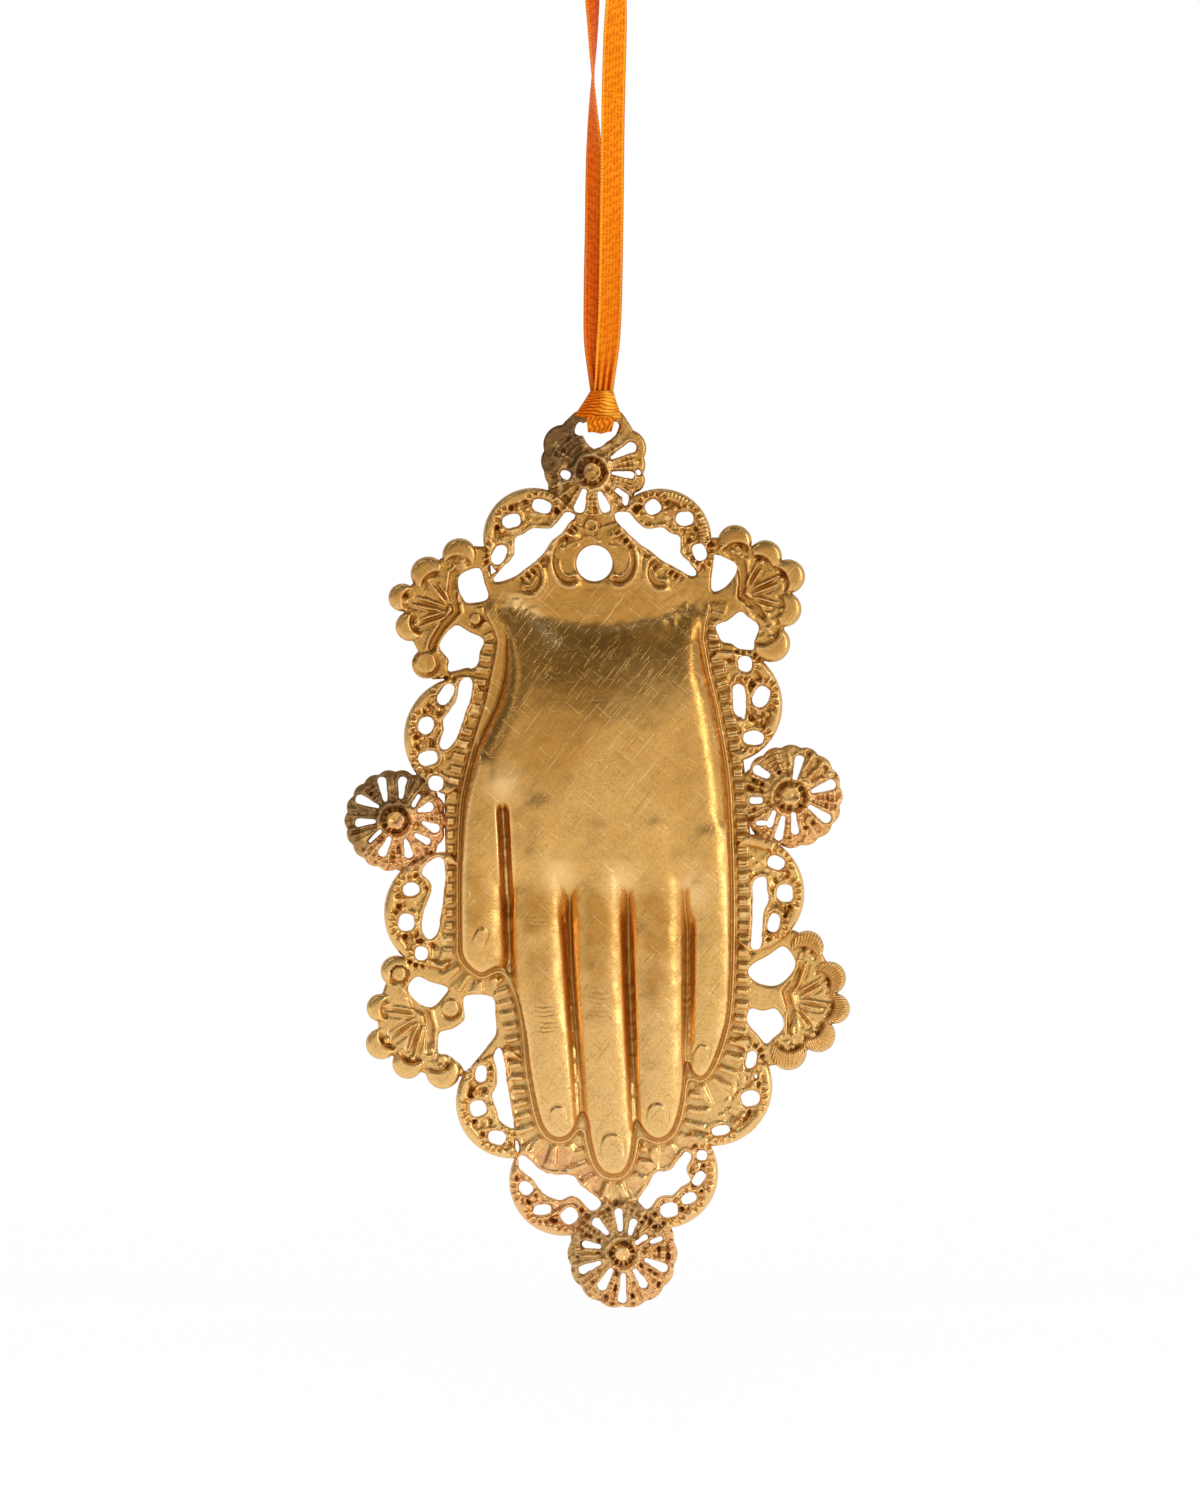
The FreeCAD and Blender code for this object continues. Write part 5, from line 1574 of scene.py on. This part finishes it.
    @staticmethod
    def _sharpen(mesh: bpy.types.Mesh, rims: np.ndarray) -> None:
        """Marks the edges along the sheet's cut sides as sharp.

        Args:
            mesh: the mesh.
            rims: the two ends of each edge.
        """
        ends = np.empty(2 * len(mesh.edges), np.int32)
        mesh.edges.foreach_get("vertices", ends)
        drawn, sharp = (np.sort(pairs, 1).astype(np.int64) @ (len(mesh.vertices), 1)
                        for pairs in (ends.reshape(-1, 2), rims))
        store(mesh, "sharp_edge", np.isin(drawn, sharp), "BOOLEAN", "EDGE")


# ------------------------------------------------------------------ the ribbon
def spline_points(name: str, route: Sequence[Triple], fineness: int = 12) -> np.ndarray:
    """The points of a smooth line.

    Args:
        name: a name for the line.
        route: its control points in metres.
        fineness: how many parts each stretch is drawn in.

    Returns:
        The points, one row each.
    """
    line = bpy.data.curves.new(name, "CURVE")
    line.dimensions = "3D"
    spline = line.splines.new("NURBS")
    spline.points.add(len(route) - 1)
    for point, place in zip(spline.points, route):
        point.co = (*place, 1.0)
    spline.order_u = 3
    spline.use_endpoint_u = True
    spline.resolution_u = fineness
    holder = put(name, line)
    bpy.context.view_layer.update()
    drawn = bpy.data.meshes.new_from_object(holder)
    points = np.array([v.co[:] for v in drawn.vertices])
    bpy.data.objects.remove(holder)
    bpy.data.meshes.remove(drawn)
    return points


def loft(name: str, rings: np.ndarray, material: bpy.types.Material, **notes: np.ndarray) -> bpy.types.Object:
    """A closed skin through rings of points, capped at both ends.

    Args:
        name: the piece's name.
        rings: the points in metres: ring, place in the ring, and x, y, z.
        material: its material.
        notes: numbers for the finish, one for each point.

    Returns:
        The object.
    """
    count, size = rings.shape[:2]
    faces = [(i * size + j, i * size + (j + 1) % size, (i + 1) * size + (j + 1) % size, (i + 1) * size + j)
             for i in range(count - 1) for j in range(size)]
    faces += [tuple(range(size))[::-1], tuple(range((count - 1) * size, count * size))]
    mesh = bpy.data.meshes.new(name)
    mesh.from_pydata(rings.reshape(-1, 3).tolist(), [], faces)
    for key, values in notes.items():
        store(mesh, key, np.broadcast_to(values, (count, size)).astype(np.float32).ravel())
    mesh.polygons.foreach_set("use_smooth", np.ones(len(faces), bool))
    mesh.materials.append(material)
    mesh.update()
    return put(name, mesh)


def grid_round(rows: int, size: int) -> Tuple[np.ndarray, np.ndarray]:
    """The share of the way along each of some rings, and the turn of each place round them."""
    return np.linspace(0, 1, rows)[:, None], ROUND * np.arange(size) / size


def spread(x: np.ndarray, y: np.ndarray, z: np.ndarray) -> np.ndarray:
    """Points in metres from their sizes in millimetres, which may vary along rings, round them, or both."""
    return np.stack(np.broadcast_arrays(x, y, z), -1) * MM


@dataclass(frozen=True)
class Strand:
    """One strand of the ribbon: its stations, each a place and the turn of its width, from the knot down."""

    name: str
    stations: Sequence[Station]
    width: float = 3.0
    thick: float = 0.3
    gather: float = 7.0
    # how strongly painted shade darkens the strand's lower part, and which side of it is darker
    shade: float = 0.0
    lean: float = -1.0

    def build(self, material: bpy.types.Material) -> Tuple[bpy.types.Object, np.ndarray]:
        """Makes the woven strip.

        Args:
            material: the satin.

        Returns:
            The piece and the points that it follows.
        """
        line = spline_points(self.name + "_line", [(x * MM, y * MM, z * MM) for x, y, z, _ in self.stations])
        length = np.concatenate([[0], np.cumsum(np.linalg.norm(np.diff(line, axis=0), axis=1))])[:, None] / MM
        heights, turns = [-s[2] for s in self.stations], [s[3] for s in self.stations]
        turn = np.radians(np.interp(-line[:, 2] / MM, heights, turns))
        side = np.stack([np.cos(turn), np.sin(turn), 0 * turn], -1)[:, None]
        face = np.stack([np.sin(turn), -np.cos(turn), 0 * turn], -1)[:, None]
        share = np.linspace(-1, 1, 33)
        s = np.concatenate([share, share[::-1]])
        front = np.arange(len(s)) < len(share)
        pinch = step(length, length[-1] - self.gather, length[-1])
        wave = np.sin(s * 11.0 + 0.5 + 0.08 * length)
        crown = 0.10 * (1 - s * s) + pinch * 0.26 * wave * np.where(front, 1, 0.5)
        body = self.thick / 2 * (1 - 0.55 * np.abs(s) ** 8) + 0.05 * hump(np.abs(s) - 0.93, 0.07)
        lift = np.where(front, body, -body) + crown
        reach = s * self.width * (1 - 0.17 * pinch) / 2
        rings = line[:, None] + (side * reach[..., None] + face * lift[..., None]) * MM
        # painted shade: darker towards the strand's lower end and its shaded side; in the pinched end,
        # painted shade in the folds (fold) and painted sheen on their crests (glow)
        shadow = self.shade * (0.6 + 0.4 * self.lean * s) * step(length, 34.0, 66.0)
        piece = loft(self.name, rings, material, along=length, across=s * 1.5,
                     fold=pinch * 0.8 * np.clip(0.25 - wave, 0, None) + shadow,
                     glow=pinch * 0.5 * np.clip(wave - 0.3, 0, None))
        return piece, line


@dataclass
class Hitch:
    """The lark's head: the ribbon's fold across the bar, and its neck that goes into the hole."""

    creases: int = 9
    pleats: int = 6
    top: Triple = (-1.85, 1.15, -66.05)
    foot: Station = (-4.05, 2.35, -69.5, -69.85)
    neck_top: Triple = (-0.48, -1.28, -69.42)
    neck_half: Place = (1.85, 0.40)

    def fan(self, material: bpy.types.Material) -> bpy.types.Object:
        """Makes the fold across the bar, with its level creases.

        Args:
            material: the satin.

        Returns:
            The piece.
        """
        v, turn = grid_round(130, 96)
        c, s = np.cos(turn), np.sin(turn)
        left, right = (self.top[i] + (self.foot[i] - self.top[i]) * v ** 1.12 for i in (0, 1))
        close = 1 - np.clip((v - 0.93) / 0.07, 0, None) ** 2 * 0.45
        begin = np.minimum(1.0, v / 0.05) ** 0.5
        x = (left + right) / 2 + (right - left) / 2 * close * signed(c, 0.8) * (0.9 + 0.1 * begin)
        turns = (self.creases * v ** 0.92 + 0.22 * np.sin(x * 1.3 + v * 6.0)
                 + 0.08 * np.sin(x * 4.1 + v * 17.0))
        crease = np.abs(np.sin(math.pi * turns)) ** 0.6
        front = (0.75 + 1.05 * np.sin(math.pi * (0.10 + 0.60 * v)) ** 1.2) * close
        deep = front * np.where(s < 0, 1.0, 0.70) * (0.80 + 0.24 * crease)
        y = signed(s, 0.9) * deep * (0.75 + 0.25 * begin) - 0.02
        share = (x - self.foot[0]) / (self.foot[1] - self.foot[0])
        low = self.foot[2] + (self.foot[3] - self.foot[2]) * share
        wave = 0.07 * np.sin(x * 2.1 + v * 5.0) + 0.04 * np.sin(x * 5.3 + v * 9.0)
        z = self.top[2] + (low - self.top[2]) * v + wave * np.sin(math.pi * v)
        place = (x - left) / np.maximum(right - left, 0.1)
        # painted shade in the creases, streaked, on the fan's left side and along its top (fold); painted
        # sheen on its right third (glow)
        streak = 0.5 + 0.5 * np.sin(x * 2.3 + v * 31.0)
        fold = ((1 - crease) * (0.45 + 0.55 * streak) * 0.9 + 0.75 * np.clip(0.60 - place, 0, None)
                + 0.35 * np.clip(0.06 - v, 0, None) / 0.06)
        return loft("ribbon_fan", spread(x, y, z), material, along=x + 40, across=(turns % 1.0 - 0.5) * 2.0,
                    fold=np.minimum(0.85, fold),
                    glow=1.2 * hump(place - 0.76 + 0.05 * np.sin(v * 20), 0.18) * crease ** 0.5)

    def neck(self, material: bpy.types.Material) -> bpy.types.Object:
        """Makes the gathered neck in front of the rim, with its upright creases.

        Args:
            material: the satin.

        Returns:
            The piece.
        """
        v, turn = grid_round(56, 160)
        c, s = np.cos(turn), np.sin(turn)
        half, deep = self.neck_half[0] - 0.35 * v, self.neck_half[1] - 0.04 * v
        close = 1 - np.clip((v - 0.9) / 0.1, 0, None) ** 2 * 0.4
        x = self.neck_top[0] - 0.12 * v + half * signed(c, 0.75) * close
        columns = (x + 0.22 * np.sin(v * 8.0 + x * 1.4) + 0.3 * v) * self.pleats / 3.7
        pleat = np.abs(np.sin(columns * math.pi)) ** 0.6
        y = (self.neck_top[1] + 1.6 * np.clip(v - 0.35, 0, None) ** 1.4
             + signed(s, 0.6) * deep * (0.55 + 0.53 * pleat) * close)
        z = self.neck_top[2] - 2.1 * v + 0.10 * np.sin(x * 3.4)
        # painted shade between the pleats, at the neck's top under the fan and towards its foot (fold);
        # painted sheen on the pleats' crests (glow)
        fold = (1 - pleat) * 0.85 + 0.5 * np.clip(0.22 - v, 0, None) / 0.22 + 0.25 * np.clip(v - 0.7, 0, None)
        return loft("ribbon_neck", spread(x, y, z), material, along=v * 2.2 + 20,
                    across=(columns % 1.0 - 0.5) * 2.0, fold=np.minimum(0.8, fold),
                    glow=1.8 * np.clip(pleat - 0.75, 0, None) * (0.5 + 0.5 * np.sin(v * 16.0 + x * 5.0)))


@dataclass
class Knot:
    """The overhand knot that closes the loop, and the ribbon's two cut tails."""

    low: float = 4.3
    high: float = 8.2
    radius: float = 2.4

    def barrel(self, material: bpy.types.Material) -> bpy.types.Object:
        """Makes the knot's wrapped body.

        Args:
            material: the satin.

        Returns:
            The piece.
        """
        v, turn = grid_round(70, 72)
        wrap = (v * 2.6 + 0.16 * np.sin(turn + 0.6) + turn / ROUND) % 1.0
        ridge = np.abs(np.sin(math.pi * wrap)) ** 0.6
        swell = np.clip(np.sin(math.pi * v), 0, None) ** 0.55
        body = (1.0 + (self.radius - 1.15) * swell) * (0.88 + 0.12 * ridge)
        rings = spread(body * np.cos(turn), body * np.sin(turn) * 0.9, self.low + (self.high - self.low) * v)
        # painted shade between the wraps (fold)
        return loft("ribbon_knot_body", rings, material, along=turn * self.radius, across=(wrap - 0.5) * 2.9,
                    fold=(1 - ridge) * 0.7, glow=0.0)

    def tail(self, name: str, lean: float, length: float, turn: float,
             material: bpy.types.Material) -> bpy.types.Object:
        """Makes one cut tail.

        Args:
            name: its name.
            lean: how far it leans to the side at its end, in mm.
            length: how far it rises over the knot.
            turn: the turn of its width, in degrees.
            material: the satin.

        Returns:
            The piece.
        """
        stations = ((0.2 * lean, 0.0, self.high - 1.0, turn), (0.35 * lean, 0.1, self.high + 0.6, turn),
                    (0.7 * lean, 0.25, self.high + length * 0.55, turn + 14),
                    (lean * 0.85, 0.0, self.high + length, turn - 8))
        return Strand(name, stations, gather=0.01).build(material)[0]


def dress(piece: bpy.types.Object, body: str, node: str = "") -> None:
    """Says where a piece belongs.

    Args:
        piece: the piece.
        body: the body that it rides on.
        node: the solid that it stands for, if any.
    """
    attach(piece, body)
    if node:
        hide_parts(node)
    log.info("%s rides on %s", piece.name, body)


@dataclass
class Ribbon:
    """The orange satin ribbon: two strands, the hitch and the knot."""

    finish: SatinFinish = SatinFinish()
    # a darker copy of the satin for the left strand, which turns its back to the front: painted shade
    shaded: SatinFinish = SatinFinish("ribbon_satin_back", (0.80, 0.145, 0.003), (0.50, 0.052, 0.001),
                                      (0.92, 0.30, 0.03), (0.36, 0.034, 0.001))
    right: Strand = Strand("ribbon_right", (
        (0.45, 0.0, 4.3, 90), (1.75, 0.0, 1.6, 90), (2.05, 0.0, 0.0, 90), (2.0, 0.0, -4.0, 80),
        (1.8, -0.1, -10.0, 50), (1.5, -0.25, -16.0, 30), (1.3, -0.5, -22.0, 5), (1.1, -0.6, -29.0, 0),
        (0.97, -0.65, -41.0, 0), (0.78, -0.75, -54.5, 0), (0.45, -0.8, -61.0, 0), (-0.1, -0.8, -66.1, 0)),
                           shade=0.5, lean=1.0)
    left: Strand = Strand("ribbon_left", (
        (-0.45, 0.0, 4.3, 90), (-1.75, 0.0, 1.6, 90), (-2.05, 0.0, 0.0, 90), (-1.95, 0.0, -4.0, 85),
        (-1.75, 0.0, -10.0, 65), (-1.55, 0.0, -16.0, 55), (-1.5, 0.05, -22.0, 75), (-1.55, 0.3, -27.0, 95),
        (-1.4, 1.0, -34.0, 125), (-0.95, 0.6, -41.0, 160), (-1.2, 0.1, -54.0, 180),
        (-1.2, -0.15, -61.0, 180), (-0.6, -0.4, -66.1, 180)),
                          shade=0.6, lean=-1.0)

    def build(self) -> None:
        """Makes the whole ribbon and sets each of its pieces on its body."""
        satin, shaded = self.finish.make(), self.shaded.make()
        knot, hitch = Knot(), Hitch()
        tied = [knot.barrel(satin), knot.tail("ribbon_tail_left", -2.1, 6.6, 12, satin),
                knot.tail("ribbon_tail_right", 2.1, 6.0, -10, satin)]
        for piece, node in zip(tied, ("ribbon_knot", "", "")):
            dress(piece, "ribbon", node)
        for strand, material in ((self.right, satin), (self.left, shaded)):
            piece, line = strand.build(material)
            dress(piece, "ribbon", strand.name.replace("ribbon_", "ribbon_strand_"))
        dress(hitch.fan(satin), "hitch", "ribbon_hitch")
        dress(hitch.neck(satin), "hitch")


# ------------------------------------------------------------------ the studio
@dataclass
class Studio:
    """A pale floor under the hanging ornament, soft light all round, and the camera."""

    middle: Place = (-0.58, -112.15)
    distance: float = 1.2
    width_seen: float = 0.15385
    sensor: float = 36.0
    floor_half: float = 3.0
    floor_level: float = -0.1845
    aim: Triple = (0, 0, -0.125)
    lamps: Sequence[Tuple[str, Triple, Place, float]] = (
        ("lamp_right", (0.85, -0.75, 0.10), (0.30, 0.9), 3.8),
        ("lamp_left", (-0.80, -0.75, 0.40), (0.10, 0.5), 2.6),
        ("lamp_top", (-0.45, -0.55, 0.66), (0.35, 0.16), 3.0))

    def camera(self) -> None:
        """Puts the camera straight in front of the ornament."""
        data = bpy.data.cameras.new("camera")
        data.sensor_fit = "HORIZONTAL"
        data.sensor_width = self.sensor
        data.lens = self.sensor * self.distance / self.width_seen
        data.clip_start, data.clip_end = 0.01, 20.0
        camera = put("camera", data)
        camera.location = (self.middle[0] * MM, -self.distance, self.middle[1] * MM)
        camera.rotation_euler = (math.pi / 2, 0, 0)
        bpy.context.scene.camera = camera

    def lamp(self, name: str, place: Triple, size: Place, level: float) -> None:
        """Hangs one soft lamp that faces the ornament.

        Args:
            name: its name.
            place: its place in metres.
            size: its width and height in metres.
            level: how bright its face is, where 1 is white.
        """
        data = bpy.data.lights.new(name, "AREA")
        data.shape = "RECTANGLE"
        data.size, data.size_y = size
        data.energy = level * size[0] * size[1] * math.pi
        lamp = put(name, data)
        lamp.location = place
        lamp.rotation_euler = (Vector(self.aim) - Vector(place)).to_track_quat("-Z", "Y").to_euler()

    def floor(self) -> bpy.types.Object:
        """Lays the pale floor, which keeps the ornament's faint shadow.

        Returns:
            The floor.
        """
        g = Graph(bpy.data.materials.new("floor_white"))
        path = g.node("ShaderNodeLightPath", {}, {})
        camera, glossy, passed = (Number(g, path.outputs[f"Is {ray} Ray"])
                                  for ray in ("Camera", "Glossy", "Transmission"))
        pale = g.node("ShaderNodeBsdfPrincipled", {}, {"Base Color": (0.9, 0.9, 0.9, 1.0), "Roughness": 0.6})
        glow = g.node("ShaderNodeEmission", {}, {"Color": (1, 1, 1, 1), "Strength": 1.0})
        here = g.node("ShaderNodeTexCoord", {}, {}).outputs["Object"]
        away = g.number("ShaderNodeVectorMath", {"operation": "LENGTH"}, {0: here}, "Value")
        seen = (camera + glossy + passed).clamped() * (away.span(0.20, 0.75) * 0.06 + 0.94)
        mixed = g.node("ShaderNodeMixShader", {}, {0: seen, 1: pale.outputs[0], 2: glow.outputs[0]})
        g.node("ShaderNodeOutputMaterial", {}, {"Surface": mixed.outputs[0]})
        half, level = self.floor_half, self.floor_level
        mesh = bpy.data.meshes.new("floor")
        corners = [(x * half, y * half, level) for x, y in ((-1, -1), (1, -1), (1, 1), (-1, 1))]
        mesh.from_pydata(corners, [], [(0, 1, 2, 3)])
        mesh.materials.append(g.owner)
        return put("floor", mesh)

    def world(self) -> None:
        """Surrounds the ornament with light: white behind and below, dimmer in front."""
        world = bpy.data.worlds.new("studio")
        bpy.context.scene.world = world
        g = Graph(world)
        glossy = g.number("ShaderNodeLightPath", {}, {}, "Is Glossy Ray")
        way = g.node("ShaderNodeTexCoord", {}, {}).outputs["Generated"]
        parts = g.node("ShaderNodeSeparateXYZ", {}, {0: way})
        x, y, z = (Number(g, parts.outputs[i]) for i in range(3))
        front = (y * -1.0).span(-0.35, 0.35)
        dim = 0.30 + z.span(0.38, -0.38) * 1.05 + x.span(-0.75, 0.55) * 0.30
        level = 1.0 - front * (1.0 - dim) - z.span(0.15, 0.9) * 0.35 - x.span(-0.15, -0.9) * 0.32
        strength = glossy * (level.at_least(0.16) - 1.0) + 1.0
        back = g.node("ShaderNodeBackground", {}, {"Color": (1, 1, 1, 1), "Strength": strength})
        g.node("ShaderNodeOutputWorld", {}, {"Surface": back.outputs[0]})

    def build(self) -> None:
        """Sets up the camera, floor, lamps and world."""
        bpy.context.scene.view_settings.view_transform = "Standard"
        self.camera()
        self.floor()
        for lamp in self.lamps:
            self.lamp(*lamp)
        self.world()


# ------------------------------------------------------------------ the ornament
def main() -> None:
    """Builds the ornament and its studio."""
    logging.basicConfig(level=logging.INFO, format="%(message)s")
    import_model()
    Studio().build()
    Ribbon().build()
    plaque = Plaque().build()
    dress(plaque, "plaque", "brass_plaque")
    log.info("brass sheet: %d faces", len(plaque.data.polygons))


if __name__ == "__main__":
    main()
